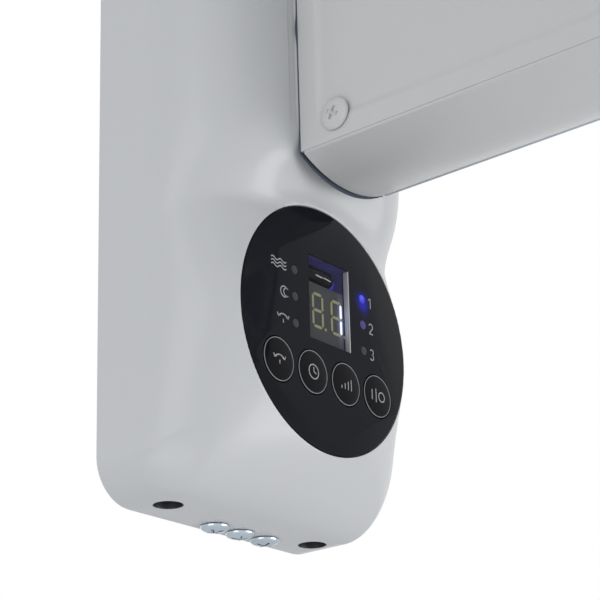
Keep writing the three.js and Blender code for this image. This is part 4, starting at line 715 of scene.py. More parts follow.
def make_housing():
    """The moulded shell: outer form less its hollow, with the panel's seat and the openings cut in."""
    shell = build("housing_skin", [housing_form(0, 130, 190, 0)])
    combine(shell, [housing_form(WALL, 96, 140, 5)])
    seat, opening, edge = FASCIA_BACK - GAP, PANEL_RADIUS - PANEL_LEDGE, PANEL_RADIUS + GAP
    outer, back = PANEL_RADIUS + LEDGE_WIDTH, seat - LEDGE_THICKNESS
    ledge = [(opening, seat), (outer, seat), (outer, back), (opening, back)]
    combine(shell, [lathe(ledge, 0.2, 2, PANEL_CENTRE, 160)], "UNION")
    recess = [(0, seat), (edge, seat), (edge, PANEL_DEPTH - 0.55), (edge + 0.12, PANEL_DEPTH - 0.2),
              (edge + 0.5, PANEL_DEPTH + 0.02), (PANEL_RADIUS + 3, PANEL_DEPTH + 0.6),
              (PANEL_RADIUS + 3, SKIN_REACH), (0, SKIN_REACH)]
    cutters = [
        lathe(recess, 0, 1, PANEL_CENTRE, 160, closed=False),
        rod("y", opening, -36, -60, PANEL_CENTRE, 160),
        slab(*ARM_PORT, 3),
    ]
    cutters += [rod("z", FLOOR_HOLE_RADIUS, -5, 8, hole, 48) for hole in FLOOR_HOLES]
    cutters += [rod("z", FLANGE_SEAT_RADIUS, 1.5, 12, hole, 48) for hole in FLOOR_HOLES]
    cutters += [rod("z", SCREW_HOLE_RADIUS, -5, 8, screw, 24) for screw in FLOOR_SCREWS]
    combine(shell, cutters, sharp=32)
    hand_over(shell, "wall_unit", "white_plastic", ["housing_shell"])


def make_hole_shade_liners():
    """Black open tubes in the two round holes of the floor, each with a flange on the inside: they paint the
    shade inside the holes.
    """
    profile = rounded([(4.45, 0.1), (4.7, 0.1), (4.7, 1.6), (7.3, 1.6), (7.3, 2.8), (5.2, 2.8), (5.2, 11.0),
                       (4.45, 11.0)], [0.05, 0.05, 0, 0.2, 0.2, 0.3, 0.1, 0.1], 2)
    for side, hole in zip(("left", "right"), FLOOR_HOLES):
        # Black lining that paints the shade inside the floor's holes.
        on_wall(f"floor_grommet_{side}", [turned(profile, "z", hole, 64)], "black_plastic")


# ---------------------------------------------------------------- control panel

KEYS = {"osc": -24.05, "timer": -7.75, "speed": 8.55, "on_off": 24.85}
KEY_RADIUS, KEY_HEIGHT, KEY_TIP, STEM_RADIUS = 7.1, 40.7, 42.9, 2.2
CUT_FRONT, CUT_BACK, LIGHT_HOLE_RADIUS, PANE_BACK = -60, -40, 1.62, -PANEL_DEPTH + 0.35
DIGIT_WIDTH, DIGIT_TALL, DIGIT_BOTTOM, DIGIT_STROKE, SEGMENT_GAP = 5.6, 11.8, 57.2, 0.9, 0.34
DIGITS = ((-4.7, ""), (4.65, "bc"))  # left edge of each digit, and which of its segments are lit
EYE_RADIUS, EYE_Y, EYE_START, EYE_END = 2.9, -43.2, -8.0, 5.6
# Runs of the painted glint on the receiver eye: x from and to, z from and to, and the strip's radius.
GLINT_RUNS = ((-2.2, 0.9, 75.2, 75.05, 0.16), (1.7, 5.2, 75.3, 75.0, 0.13))  # x, x, z, z, wire


def make_panel():
    """Round fascia with small rounded edges, cut for the window, the lights and the keys."""
    window = slab(WINDOW_LEFT, WINDOW_RIGHT, CUT_FRONT, CUT_BACK, WINDOW_BOTTOM, WINDOW_TOP, 0.3)
    lights = [rod("y", LIGHT_HOLE_RADIUS, CUT_FRONT, CUT_BACK, (x, z), 32)
              for z in LIGHT_ROWS for x in LIGHT_COLUMNS.values()]
    keys = [rod("y", KEY_RADIUS + GAP, CUT_FRONT, CUT_BACK, (x, KEY_HEIGHT), 72) for x in KEYS.values()]
    outline = ring_outline(PANEL_RADIUS, 180, PANEL_CENTRE)
    on_wall("panel_face", [prism(outline, "y", -PANEL_DEPTH, -FASCIA_BACK, 0.35, 3)], "gloss_black",
            ["control_panel"], (LIT_FASCIA,), cut=[window] + lights + keys)


def make_display():
    """Slabs in the window: the clear pane, a pale strip down its right edge, a blue lit ceiling, and the
    digits' face, with the flat segments lying on it."""
    left, right, bottom, top = WINDOW_LEFT, WINDOW_RIGHT, WINDOW_BOTTOM, WINDOW_TOP
    slabs = (
        ("window_pane", "smoked_lens", ["display_window"], PANE,
         (left + 0.12, right - 0.36, -PANEL_DEPTH, PANE_BACK, bottom + 0.12, top - 0.12, 0.2, 0.06)),
        ("window_strip", "pale_plastic", (), PALE_STRIP,
         (right - 0.32, right - 0.01, -47.95, -46.05, bottom + 0.1, top - 0.1, 0.05, 0.03)),
        ("window_ceiling", "black_plastic", (), BLUE_CEILING,
         (left + 0.1, right - 0.35, -47.5, -44, top - 0.14, top - 0.02, 0.03, 0.02)),
        ("display_face", "grey_plastic", ["display_module"], LIT_FACE,
         (left + 0.6, right - 0.6, -DIGIT_DEPTH, -DISPLAY_BACK, bottom + 0.8, DISPLAY_TOP, 0.3, 0.15)),
    )
    for name, slot, replaced, material, size in slabs:
        on_wall(name, [slab(*size)], slot, replaced, (material,))
    lit, unlit = [], []
    for edge, on in DIGITS:
        for name, outline in digit_segments(edge):
            part = prism(outline, "y", -DIGIT_DEPTH - 0.12, -DIGIT_DEPTH + 0.05)
            (lit if name in on else unlit).append(part)
    on_wall("digits_off", unlit, "light_plastic", (), (SEGMENT_OFF,))
    on_wall("digits_on", lit, "light_plastic", (), (SEGMENT_ON,))


def digit_segments(left):
    """The seven segments and the point of one digit, as outlines (x, z) with pointed ends."""
    half = DIGIT_STROKE / 2

    def bar(a, b):
        a, b = np.array(a, float), np.array(b, float)
        along = (b - a) / np.linalg.norm(b - a)
        across = np.array([-along[1], along[0]]) * half
        a, b = a + along * SEGMENT_GAP, b - along * SEGMENT_GAP
        return [a, a + along * half + across, b - along * half + across, b,
                b - along * half - across, a + along * half - across]

    x0, x1 = left + half, left + DIGIT_WIDTH - half
    z0, z1, z2 = DIGIT_BOTTOM + half, DIGIT_BOTTOM + DIGIT_TALL / 2, DIGIT_BOTTOM + DIGIT_TALL - half
    lines = {"a": ((x0, z2), (x1, z2)), "b": ((x1, z2), (x1, z1)), "c": ((x1, z1), (x1, z0)),
             "d": ((x0, z0), (x1, z0)), "e": ((x0, z1), (x0, z0)), "f": ((x0, z2), (x0, z1)),
             "g": ((x0, z1), (x1, z1))}
    point = ring_outline(0.5, 12, (left + DIGIT_WIDTH + 0.95, DIGIT_BOTTOM + 0.45))
    return [(name, bar(*line)) for name, line in lines.items()] + [("p", point)]


def make_receiver():
    """Dark lying round eye above the digits, its rounded end in front of a blue lit disc; a fine bright strip
    lies on the eye's skin as a painted glint of its highlight."""
    z = (DISPLAY_TOP + WINDOW_TOP) / 2
    bend = np.linspace(0, math.pi / 2, 12)
    nose = [(EYE_RADIUS * math.cos(a), EYE_END + 0.9 * EYE_RADIUS * math.sin(a)) for a in bend]
    profile = [(0, EYE_START), (EYE_RADIUS, EYE_START)] + nose
    on_wall("receiver_eye", [turned(profile, "x", (EYE_Y, z), 48, closed=False),
                             slab(-7, 4, EYE_Y, -DISPLAY_BACK, z - 2, z + 2, 0.3, axis="x")],
            "black_plastic", ["receiver"], (KEY_BLACK,))
    on_wall("receiver_glow", [rod("y", 3.15, -42.5, -40.3, (8.3, 77.0), 48, 0.3)], "light_plastic", (),
            (BLUE_GLOW,))
    # The backing glows with painted blue light.
    backing = slab(WINDOW_LEFT + 0.2, WINDOW_RIGHT + 12, -40.4, -39.4, DISPLAY_TOP + 0.2, WINDOW_TOP + 8, 0.4)
    on_wall("window_backing", [backing], "black_plastic", (), (BACKING_BLUE_GLOW,))
    # Painted glint: bright strips laid on the eye's skin where its highlight falls.
    glints = []
    for x0, x1, z0, z1, wire in GLINT_RUNS:
        heights = np.linspace(z0, z1, 8)
        depths = EYE_Y - 0.02 - np.sqrt(EYE_RADIUS ** 2 - (heights - z) ** 2)
        glints.append(carried(np.stack([np.linspace(x0, x1, 8), depths, heights], axis=1), wire))
    on_wall("receiver_lead", glints, "pale_plastic", (), (GLINT_PAINT,))


def make_lights():
    """Six small domed windows in the fascia, one brightly lit, one fainter."""
    states = {("right", 0): LIGHT_BRIGHT, ("right", 1): LIGHT_FAINT}
    profile = [(0, FASCIA_BACK - 1), (1.5, FASCIA_BACK - 1), (1.5, PANEL_DEPTH - 0.08), (1.42, PANEL_DEPTH),
               (0.8, PANEL_DEPTH + 0.03), (0, PANEL_DEPTH + 0.04)]
    for side, x in LIGHT_COLUMNS.items():
        for i, z in enumerate(LIGHT_ROWS):
            replaced = [f"light_guide_{side}"] if i == 0 else []
            on_wall(f"light_{side}_{i + 1}", [lathe(profile, 0, 1, (x, z), 28, closed=False)],
                    "light_plastic", replaced, (states.get((side, i), LIGHT_OFF),))


def key_front(centre, x, z):
    """Front of a key: a low dome inside its grey edge ring, falling with the square of the distance."""
    r = np.hypot(x - centre, z - KEY_HEIGHT) / KEY_RADIUS
    return -PANEL_DEPTH - 0.45 + 0.35 * r ** 2


def make_keys():
    """Each key is turned: dome, skirt, a flange behind the fascia and a stem; its ring is a torus."""
    for name, x in KEYS.items():
        middle = (x, KEY_HEIGHT)
        dome = [(r, -key_front(x, x + r, KEY_HEIGHT)) for r in np.linspace(0, KEY_RADIUS - 0.5, 14)]
        edge = dome[-1][1]
        skirt = [(KEY_RADIUS - 0.1, edge - 0.25), (KEY_RADIUS, edge - 0.6), (KEY_RADIUS, FASCIA_BACK - 0.4),
                 (KEY_RADIUS + 0.6, FASCIA_BACK - 0.4), (KEY_RADIUS + 0.6, FASCIA_BACK - 1.4),
                 (STEM_RADIUS, FASCIA_BACK - 1.4), (STEM_RADIUS, KEY_TIP), (0, KEY_TIP)]
        body = lathe(dome + skirt, 0, 1, middle, 96, closed=False)
        bead = torus(KEY_RADIUS - 0.3, -edge + 0.03, 0.14, middle, 96, 8)
        add(f"button_{name}", f"key_{name}", [body, bead], "gloss_black", [f"button_{name}"],
            (KEY_BLACK, KEY_EDGE_GREY), slots=[0, 1])


# ---------------------------------------------------------------- printed marks

MARK_WIDTH, MARK_BACK, MARK_FRONT, MARK_STEP = 0.37, 0.06, -0.025, 0.3


def arc(centre, radius, start, end, count):
    """Points on a circle from one angle to another, in degrees."""
    a = np.radians(np.linspace(start, end, count))
    return [(centre[0] + radius * math.cos(i), centre[1] + radius * math.sin(i)) for i in a]


def ring(centre, radius, count):
    """Circle as a line that ends where it starts."""
    return arc(centre, radius, 0, 345, count) + [(centre[0] + radius, centre[1])]


# Lines of each mark round its own middle, in millimetres
MARKS = {
    "breeze": [[(-3.6 + 0.3 * i, row + 0.42 * math.sin(0.3 * i * 1.75)) for i in range(25)]
               for row in (-1.15, 0, 1.15)],
    "moon": [arc((0, 0), 1.75, 40, 320, 26), arc((1.05, 0), 1.35, 57, 303, 22)],
    "sweep": [arc((0, -1.6), 2.9, 38, 142, 22), [(-2.75, 1.25), (-2.3, 0.15), (-1.25, 0.72)],
              [(2.75, 1.25), (2.3, 0.15), (1.25, 0.72)], [(0, -1.6), (0, -0.4)]],
    "1": [[(-0.75, 1.0), (0.2, 1.75)], [(0.2, 1.75), (0.2, -1.75)]],
    "2": [arc((0, 0.8), 0.95, 165, -35, 16) + [(-0.95, -1.7)], [(-1.0, -1.7), (1.0, -1.7)]],
    "3": [arc((0, 0.85), 0.88, 150, -90, 16), arc((0, -0.85), 0.92, 90, -150, 16)],
    "clock": [ring((0, 0), 2.3, 30), [(0, 1.5), (0, 0), (1.15, -0.55)]],
    "bars": [[(x, -1.8), (x, top)] for x, top in ((-2.4, -0.8), (-0.8, 0.1), (0.8, 1.0), (2.4, 1.9))],
    "line_ring": [[(-2.5, -1.7), (-2.5, 1.7)], [(-0.5, -2.3), (-0.5, 2.3)], ring((2.4, 0), 1.55, 26)],
}
# Each mark with its place across, and its height from the light or key it stands for
LIGHT_MARKS = {
    "left": (("breeze", -23.0, 0.0), ("moon", -20.6, 0.0), ("sweep", -21.4, 0.0)),
    "right": (("1", 22.9, -0.4), ("2", 22.9, -0.4), ("3", 22.9, -0.4)),
}
KEY_MARKS = {"osc": ("sweep", 0.0), "timer": ("clock", 0.0), "speed": ("bars", 0.0),
             "on_off": ("line_ring", -0.6)}  # mark, and its shift to the right


def stroke(points, front):
    """A printed line: a flat ribbon along the points (x, z), lying on the face that `front` gives."""
    points = np.array(points, float)
    ahead = np.gradient(points, axis=0)
    ahead /= np.linalg.norm(ahead, axis=1)[:, None] + 1e-9
    across = np.stack([-ahead[:, 1], ahead[:, 0]], axis=1) * MARK_WIDTH / 2
    left, right = points + across, points - across
    rows = []
    for side, lift in ((left, MARK_BACK), (left, MARK_FRONT), (right, MARK_FRONT), (right, MARK_BACK)):
        rows.append(np.stack([side[:, 0], front(side[:, 0], side[:, 1]) + lift, side[:, 1]], axis=1))
    return surface(np.stack(rows, axis=1), wrap_v=True, cap_start=True, cap_end=True)


def dense(points):
    """The polyline with points at even short distances, so that its ribbon follows a curved key."""
    out = []
    for (x0, z0), (x1, z1) in zip(points[:-1], points[1:]):
        count = max(int(math.hypot(x1 - x0, z1 - z0) / MARK_STEP), 1)
        out += [(mix(x0, x1, i / count), mix(z0, z1, i / count)) for i in range(count)]
    return out + [points[-1]]


def print_mark(name, mark, middle, body, front):
    """One mark as a piece: its lines as ribbons about its middle."""
    lines = [dense([(middle[0] + x, middle[1] + z) for x, z in line]) for line in MARKS[mark]]
    add(body, name, [stroke(line, front) for line in lines], "pale_plastic", (), (PRINT,))


def panel_front(x, _):
    """The panel's flat front."""
    return np.full_like(x, -PANEL_DEPTH)


def make_marks():
    """A mark beside each light, and one on each key."""
    for side, marks in LIGHT_MARKS.items():
        for i, (mark, x, shift) in enumerate(marks):
            place = (x, LIGHT_ROWS[i] + shift)
            print_mark(f"mark_{side}_{i + 1}", mark, place, "wall_unit", panel_front)
    for name, (mark, shift) in KEY_MARKS.items():
        place = (KEYS[name] + shift, KEY_HEIGHT)
        print_mark(f"mark_{name}", mark, place, f"button_{name}", partial(key_front, KEYS[name]))


# ---------------------------------------------------------------- screws

SCREW_LENGTH = 9.0
FLOOR_SCREW_TURNS, ARM_SCREW_TURN = (20, 52, 75), 28  # degrees
ARM_SCREW_DEPTHS, ARM_SCREW_HEIGHT = (70.4, 180.0), 116.2


def screw_mesh(name, head, height, shank, cross, broad):
    """Mushroom head screw with a cross recess, its seat at the frame's origin and its head below. The dome's
    height falls with the cosine; `cross` and `broad` size the recess against the head."""
    a = np.linspace(0, math.pi / 2, 14)
    dome = [(head * math.sin(t), -height * math.cos(t) ** 0.8) for t in a[:-1]]
    profile = dome + [(head, -0.18), (head * 0.97, 0), (shank, 0), (shank, SCREW_LENGTH - shank),
                      (shank * 0.3, SCREW_LENGTH), (0, SCREW_LENGTH)]
    reach, mouth, floor = head * cross, -height - 1, -height * 0.25
    slope = -height * 0.72
    outline = [(-reach, mouth), (reach, mouth), (reach, slope), (reach * 0.3, floor), (-reach * 0.3, floor),
               (-reach, slope)]
    points, faces = prism(outline, "y", -head * broad, head * broad)
    crossed = np.stack([-points[:, 1], points[:, 0], points[:, 2]], axis=1)
    piece = build(name, [turned(profile, "z", (0, 0), 48, closed=False)])
    combine(piece, [(points, faces), (crossed, faces)])
    mesh = piece.data
    mesh.transform(Matrix.Translation((0, 0, -HOUSING_FLOOR * MM)))
    bpy.data.objects.remove(piece)
    return mesh


def put_screw(name, mesh, place, turn, slot, node):
    """A copy of a screw's mesh, turned and set at its place in millimetres."""
    own = mesh.copy()
    own.name = name
    own.transform(Matrix.Translation(Vector(to_frame(place)[0])) @ turn.to_4x4())
    hand_over(new_object(name, own), "wall_unit", slot, [node])


def make_screws():
    """Three zinc screws under the floor near the wall, and two white ones on each side of the arm."""
    floor_screw = screw_mesh("floor_screw_form", 4.7, 1.88, 1.6, 0.58, 0.09)
    for i, (x, y) in enumerate(FLOOR_SCREWS):
        turn = Matrix.Rotation(math.radians(FLOOR_SCREW_TURNS[i]), 3, "Z")
        put_screw(f"zinc_screw_{i + 1}", floor_screw, (x, y, -GAP), turn, "zinc", f"floor_screw_{i + 1}")
    arm_screw = screw_mesh("arm_screw_form", 5.4, 1.5, 2.0, 0.42, 0.12)
    places = [(side, depth) for side in SIDES for depth in ARM_SCREW_DEPTHS]
    for i, (side, depth) in enumerate(places):
        aside = Matrix.Rotation(-side * math.pi / 2, 3, "Y")
        turn = aside @ Matrix.Rotation(math.radians(ARM_SCREW_TURN), 3, "Z")
        place = (side * (ARM_HALF + GAP), -depth, ARM_SCREW_HEIGHT)
        put_screw(f"white_screw_{i + 1}", arm_screw, place, turn, "white_paint", f"arm_screw_{i + 1}")


# ---------------------------------------------------------------- arm

ARM_HALF, ARM_SHEET, ARM_BEND, ARM_BOTTOM, ARM_REAR, ARM_FRONT = 21.0, 1.2, 2.0, 108.0, 56.4, 194.0
ARM_REAR_TOP, ARM_FRONT_TOP, SLOPE_START, SLOPE_END, SLOPE_BEND = 184.0, 150.0, 92.0, 138.0, 3.0
FIELD_DEPTH, FIELD_BORDER, FIELD_STEP = 0.75, 6.2, 3.2  # the field pressed into each side
FLANGE_WIDTH, SADDLE_HOLE_DEPTHS = 13.0, (160.0, 184.0)
COVER_HALF, COVER_SAG, COVER_SHEET, COVER_GAP = 20.8, 5.2, 1.0, 0.03
COVER_RADIUS = (COVER_HALF ** 2 + COVER_SAG ** 2) / (2 * COVER_SAG)
COVER_MIDDLE = ARM_BOTTOM - COVER_GAP - COVER_SHEET - COVER_SAG + COVER_RADIUS
LIP_OUTER, LIP_SHEET = 18.8, 1.0
BULGE, BULGE_HEIGHT, BULGE_WIDTH = 0.75, 151.0, 3.2  # where the foam bulges out on the left


def arm_top(depth):
    """Height of the arm's top edge at a distance from the wall, with soft bends."""
    slope = (ARM_FRONT_TOP - ARM_REAR_TOP) / (SLOPE_END - SLOPE_START)

    def ramp(d):
        bent = (d + SLOPE_BEND) ** 2 / (4 * SLOPE_BEND)
        return np.where(d < -SLOPE_BEND, 0, np.where(d > SLOPE_BEND, d, bent))

    return ARM_REAR_TOP + slope * (ramp(depth - SLOPE_START) - ramp(depth - SLOPE_END))


def arm_screw_holes():
    """Rods through both sides of the arm."""
    return [rod("x", 2.3, -30, 30, (-depth, ARM_SCREW_HEIGHT), 24) for depth in ARM_SCREW_DEPTHS]


def arm_skin(inset, bend):
    """Grid of one face of the channel: its section, up one side, over the top and down the other, at stations
    from the wall to the front. The sides are pressed in by a smooth step away from their border."""
    stations = np.unique(np.concatenate([
        np.linspace(ARM_REAR, ARM_FRONT, 150), np.linspace(ARM_REAR, ARM_REAR + 14, 20),
        np.linspace(ARM_FRONT - 14, ARM_FRONT, 20)]))
    up = np.unique(np.concatenate([
        np.linspace(0, 1, 46), np.linspace(0, 0.22, 22), np.linspace(0.78, 1, 22)]))
    depth = stations[:, None]
    top = arm_top(depth) - inset
    side_top = top - bend
    z = ARM_BOTTOM + (side_top - ARM_BOTTOM) * up[None, :]
    slope = np.abs(np.gradient(arm_top(stations), stations))[:, None]
    to_top = (top + inset - z) / np.sqrt(1 + slope ** 2)
    to_end = np.minimum(depth - ARM_REAR, ARM_FRONT - depth)
    border = np.minimum(to_end, np.minimum(z - ARM_BOTTOM, to_top))
    x = ARM_HALF - inset - FIELD_DEPTH * smooth_step((border - FIELD_BORDER) / FIELD_STEP)
    turn = np.linspace(0, math.pi / 2, 8)[None, 1:]
    corner_x = ARM_HALF - inset - bend * (1 - np.cos(turn)) + 0 * depth
    corner_z = side_top + bend * np.sin(turn)
    across = np.linspace(1, -1, 15)[None, 1:-1] * (ARM_HALF - inset - bend) + 0 * depth
    xs = np.concatenate([x, corner_x, across, -corner_x[:, ::-1], -x[:, ::-1]], axis=1)
    zs = np.concatenate([z, corner_z, top + 0 * across, corner_z[:, ::-1], z[:, ::-1]], axis=1)
    return np.stack([xs, -depth + 0 * xs, zs], axis=-1)


def make_arm():
    """Sheet channel with its two skins, a plate across its front and a flange on each side at the rear."""
    outer, inner = arm_skin(0, ARM_BEND), arm_skin(ARM_SHEET, ARM_BEND - ARM_SHEET)
    rings = np.concatenate([outer, inner[:, ::-1]], axis=1)
    channel = surface(rings, wrap_v=True, cap_start=True, cap_end=True)
    end = rounded([(-ARM_HALF, ARM_BOTTOM), (ARM_HALF, ARM_BOTTOM), (ARM_HALF, ARM_FRONT_TOP),
                   (-ARM_HALF, ARM_FRONT_TOP)], [0.3, 0.3, ARM_BEND, ARM_BEND], 6)
    plates = [prism(end, "y", -ARM_FRONT, -ARM_FRONT + ARM_SHEET + 0.3, 0.25)]
    plates += both_sides(ARM_HALF - FLANGE_WIDTH, ARM_HALF - 0.4, -ARM_REAR - ARM_SHEET, -ARM_REAR,
                         ARM_BOTTOM + 4, ARM_REAR_TOP - 4, 2, 0.2)
    holes = arm_screw_holes() + [rod("z", 3.6, 140, 156, (0, -depth), 24) for depth in SADDLE_HOLE_DEPTHS]
    on_wall("arm_sheet", [channel], "white_paint", ["arm_channel"], joined=plates, cut=holes, sharp=40)


def cover_arc():
    """Arc under the arm, from its left edge to its right edge, about the middle of the cover's curve."""
    reach = math.asin(COVER_HALF / COVER_RADIUS)
    a = np.linspace(-math.pi / 2 - reach, -math.pi / 2 + reach, 65)
    return np.stack([COVER_RADIUS * np.cos(a), COVER_MIDDLE + COVER_RADIUS * np.sin(a)], axis=1)


def make_floor_cover():
    """Curved sheet under the arm: a shallow arc carried along it, with two lips up inside the sides, and a
    thin grey strip along its right edge that paints the shade of the cover's far edge."""
    under = cover_arc()
    outline = np.concatenate([under, (under + [0, COVER_SHEET])[::-1]])
    lips = both_sides(LIP_OUTER - LIP_SHEET, LIP_OUTER, -191.6, -60.4, ARM_BOTTOM - 1.6, ARM_BOTTOM + 13, 0.4)
    on_wall("arm_underside", [prism(outline, "y", -ARM_FRONT + 1.2, -ARM_REAR - 1.1, 0.2)], "white_paint",
            ["arm_floor_cover"], joined=lips, cut=arm_screw_holes())
    # Painted shade of the cover's far edge: a thin grey strip along it.
    shade_strip = slab(19.9, 20.75, -190, -57.9, 106.3, 106.93, 0.2, 0.1)
    on_wall("cover_seal", [shade_strip], "black_plastic", (), (EDGE_SHADE_GREY,))


def make_gasket_and_gap_shadow():
    """Thin dark foam between the arm and the housing, its dark colour partly painted shadow of the gap behind
    the arm: it follows the arm's rear outline, stands a little proud beside the arm, more below the cover's
    arc, and bulges out once on the left by a bell curve."""
    below = cover_arc()
    below[:, 1] -= 0.1 + 0.5 * (1 - (below[:, 0] / COVER_HALF) ** 2)
    z = np.linspace(ARM_BOTTOM - 1.2, ARM_REAR_TOP - 1, 60)
    bulge = BULGE * np.exp(-0.5 * ((z - BULGE_HEIGHT) / BULGE_WIDTH) ** 2)
    right = np.stack([np.full_like(z, ARM_HALF + 0.15), z], axis=1)
    left = np.stack([-ARM_HALF - 0.15 - bulge, z], axis=1)[::-1]
    foam = prism(np.concatenate([below, right, left]), "y", -56.36, -56.04, 0.05)
    on_wall("arm_gasket", [foam], "black_plastic", (), (FOAM_AND_GAP_SHADOW,))


# ---------------------------------------------------------------- fan head

SHIELD_FRONT, NECK_RADIUS = 217.3, 25.3
REAR_HALF, FRONT_HALF, FRONT_HOLE, PLATE_RADIUS = 1.2, 0.9, 14, 52.0  # the guards' middle plates
GUARD_REAR, FRONT_PLANE = SHIELD_FRONT + GAP + REAR_HALF, 330.0
RIM_DEPTH, RIM_RADIUS, RIM_WIRE, RIM_ROOM, WIRE, WIRES = 276.0, 217.0, 2.0, 0.4, 1.3, 84
RING_RADII = (95.0, 135.0, 178.0)
BADGE_RADIUS = 24
BAND_WALL, BAND_LIP, BAND_SPLIT, EAR_DROP = 1.6, 2.2, 3.0, 9.0
HUB_RADIUS, HUB_WALL, HUB_REAR, HUB_FRONT, SHAFT_RADIUS = 40.0, 2.5, 243.0, 281.0, 4.3
BLADE_ROOT, BLADE_TIP, BLADE_THICKNESS, CAMBER = 38.4, 200, 2.4, 0.09
ROOT_PITCH, TIP_PITCH, BLADE_SKEW = 38, 19, 16  # degrees
ROOT_CHORD, CHORD_GAIN, LEAST_CHORD, TIP_START = 44, 92, 12, 0.62
NOSE_LENGTH, NOSE_RADIUS, SHAFT_REACH = 22.0, 17.0, 18
HOOD_RADIUS, HOOD_WALL, HOOD_REAR, HOOD_FRONT, HOOD_BEND = 54.0, 2.0, 126.0, 212.0, 26.0


def outward(r):
    """Zero at the edge of a guard's middle plate, one at its rim."""
    return np.clip((r - PLATE_RADIUS) / (RIM_RADIUS - PLATE_RADIUS), 0, 1)


def rear_guard_depth(r):
    """Almost flat, then up to the rim with the fifth power."""
    return mix(GUARD_REAR, RIM_DEPTH - RIM_WIRE - RIM_ROOM, outward(r) ** 5)


def front_guard_depth(r):
    """A flattened dome: a quarter circle over a power of the way outward."""
    return mix(RIM_DEPTH + RIM_WIRE + RIM_ROOM, FRONT_PLANE, quarter_round(outward(r) ** 1.5))


def cage(depth_at):
    """Radial wires on a turned form, spaced evenly, with the rim and three inner rings across them."""
    t = np.linspace(0, 1, 34)
    r = mix(PLATE_RADIUS - 5, RIM_RADIUS - 0.9, 1 - (1 - t) ** 1.6)
    parts = around(carried(np.stack([0 * r, -depth_at(r), AXIS_HEIGHT + r], axis=1), WIRE), WIRES)
    parts.append(torus(RIM_RADIUS, -depth_at(RIM_RADIUS), RIM_WIRE, AXIS, 220, 14))
    parts += [torus(radius, -depth_at(radius) + WIRE, WIRE * 1.05, AXIS, 160, 10) for radius in RING_RADII]
    return parts


def guard_plate(hole, depth, half, corner):
    """Round plate with a hole, turned from its section."""
    front, back = depth + half, depth - half
    section = [(hole, front), (PLATE_RADIUS, front), (PLATE_RADIUS, back), (hole, back)]
    return lathe(section, corner, 3, AXIS, 120)


def make_guards():
    """The rear and front guard, and the cap with a round recess on the front one."""
    rear_plate = guard_plate(NECK_RADIUS, GUARD_REAR, REAR_HALF, 0.6)
    on_head("rear_cage", cage(rear_guard_depth) + [rear_plate], "white_paint", ["rear_guard"])
    front = float(front_guard_depth(PLATE_RADIUS))
    front_plate = guard_plate(FRONT_HOLE, front, FRONT_HALF, 0.5)
    on_head("front_cage", cage(front_guard_depth) + [front_plate], "white_paint", ["front_guard"])
    seat = front + WIRE + GAP
    cap = lathe([(0, 7), (27, 6.3), (46, 4.2), (55, 1.6), (55, 0), (12, 0), (12, -5), (0, -5)],
                [0, 24, 10, 1.2, 0.6, 0.4, 0.4, 0], 6, AXIS, 128, closed=False, start=seat)
    recess = rod("y", BADGE_RADIUS, -seat - 20, -seat - 6.55, AXIS, 96)
    on_head("cage_cap", [cap], "white_plastic", ["guard_cap"], cut=[recess])


def make_band():
    """Channel section turned round the two rims, split at the bottom between two ears with a screw's hole."""
    inner = RIM_RADIUS + RIM_WIRE + GAP + 0.3
    lip, outer = inner - BAND_LIP, inner + BAND_WALL
    rear = RIM_DEPTH - 2 * RIM_WIRE - RIM_ROOM - GAP
    front = RIM_DEPTH + 2 * RIM_WIRE + RIM_ROOM + GAP
    section = [(lip, rear - BAND_WALL), (outer, rear - BAND_WALL), (outer, front + BAND_WALL),
               (lip, front + BAND_WALL), (lip, front), (inner, front), (inner, rear), (lip, rear)]
    channel = lathe(section, [0.4, 1.3, 1.3, 0.4, 0.4, 0.6, 0.6, 0.4], 4, AXIS, 240)
    bottom = AXIS_HEIGHT - inner - BAND_WALL
    half = BAND_SPLIT / 2
    ears = both_sides(half, half + 3, -front, -rear, bottom - EAR_DROP, bottom + 1.2, 1.6, 0.4, axis="x")
    gap = slab(-half, half, -front - 5, -rear + 5, bottom - EAR_DROP - 2, AXIS_HEIGHT - lip + 3, axis="z")
    hole = rod("x", 2.3, -20, 20, (-RIM_DEPTH, bottom - EAR_DROP / 2), 24)
    on_head("rim_clamp", [channel], "white_plastic", ["rim_band"], joined=ears, cut=[gap, hole])


def blade_form():
    """One blade: chord, pitch, camber and sweep are functions of the place along it; its section is two
    skins from edge to edge, a parabola crowned outwards."""
    t = np.linspace(0, 1, 60)[:, None]
    r = mix(BLADE_ROOT, BLADE_TIP, 1 - (1 - t) ** 1.3)
    t = 1 - (1 - (r - 35) / 165) ** (1 / 1.3)
    swell = ROOT_CHORD + CHORD_GAIN * np.sin(math.pi * np.minimum(t, 1) * 0.62) ** 0.9
    tip = quarter_round((t - TIP_START) / 0.395)
    chord = np.maximum(swell * tip, LEAST_CHORD)
    pitch = np.radians(mix(ROOT_PITCH, TIP_PITCH, t))
    s = (1 - np.cos(np.linspace(0, math.pi, 30))) / 2
    s = np.concatenate([s, s[::-1]])[None, :]
    side = np.concatenate([np.ones(30), -np.ones(30)])[None, :]
    crown = 1 - (2 * s - 1) ** 2
    along = (s - 0.5) * chord
    lift = CAMBER * chord * crown * tip + side * BLADE_THICKNESS * (0.4 + 0.6 * crown) / 2
    angle = along * np.cos(pitch) / np.maximum(r, 60) + np.radians(BLADE_SKEW * t * t)
    y = -(HUB_REAR + HUB_FRONT) / 2 + along * np.sin(pitch) + lift * np.cos(pitch)
    grid = np.stack([r * np.sin(angle), y, AXIS_HEIGHT + r * np.cos(angle)], axis=-1)
    return surface(grid, wrap_v=True, cap_start=True, cap_end=True)


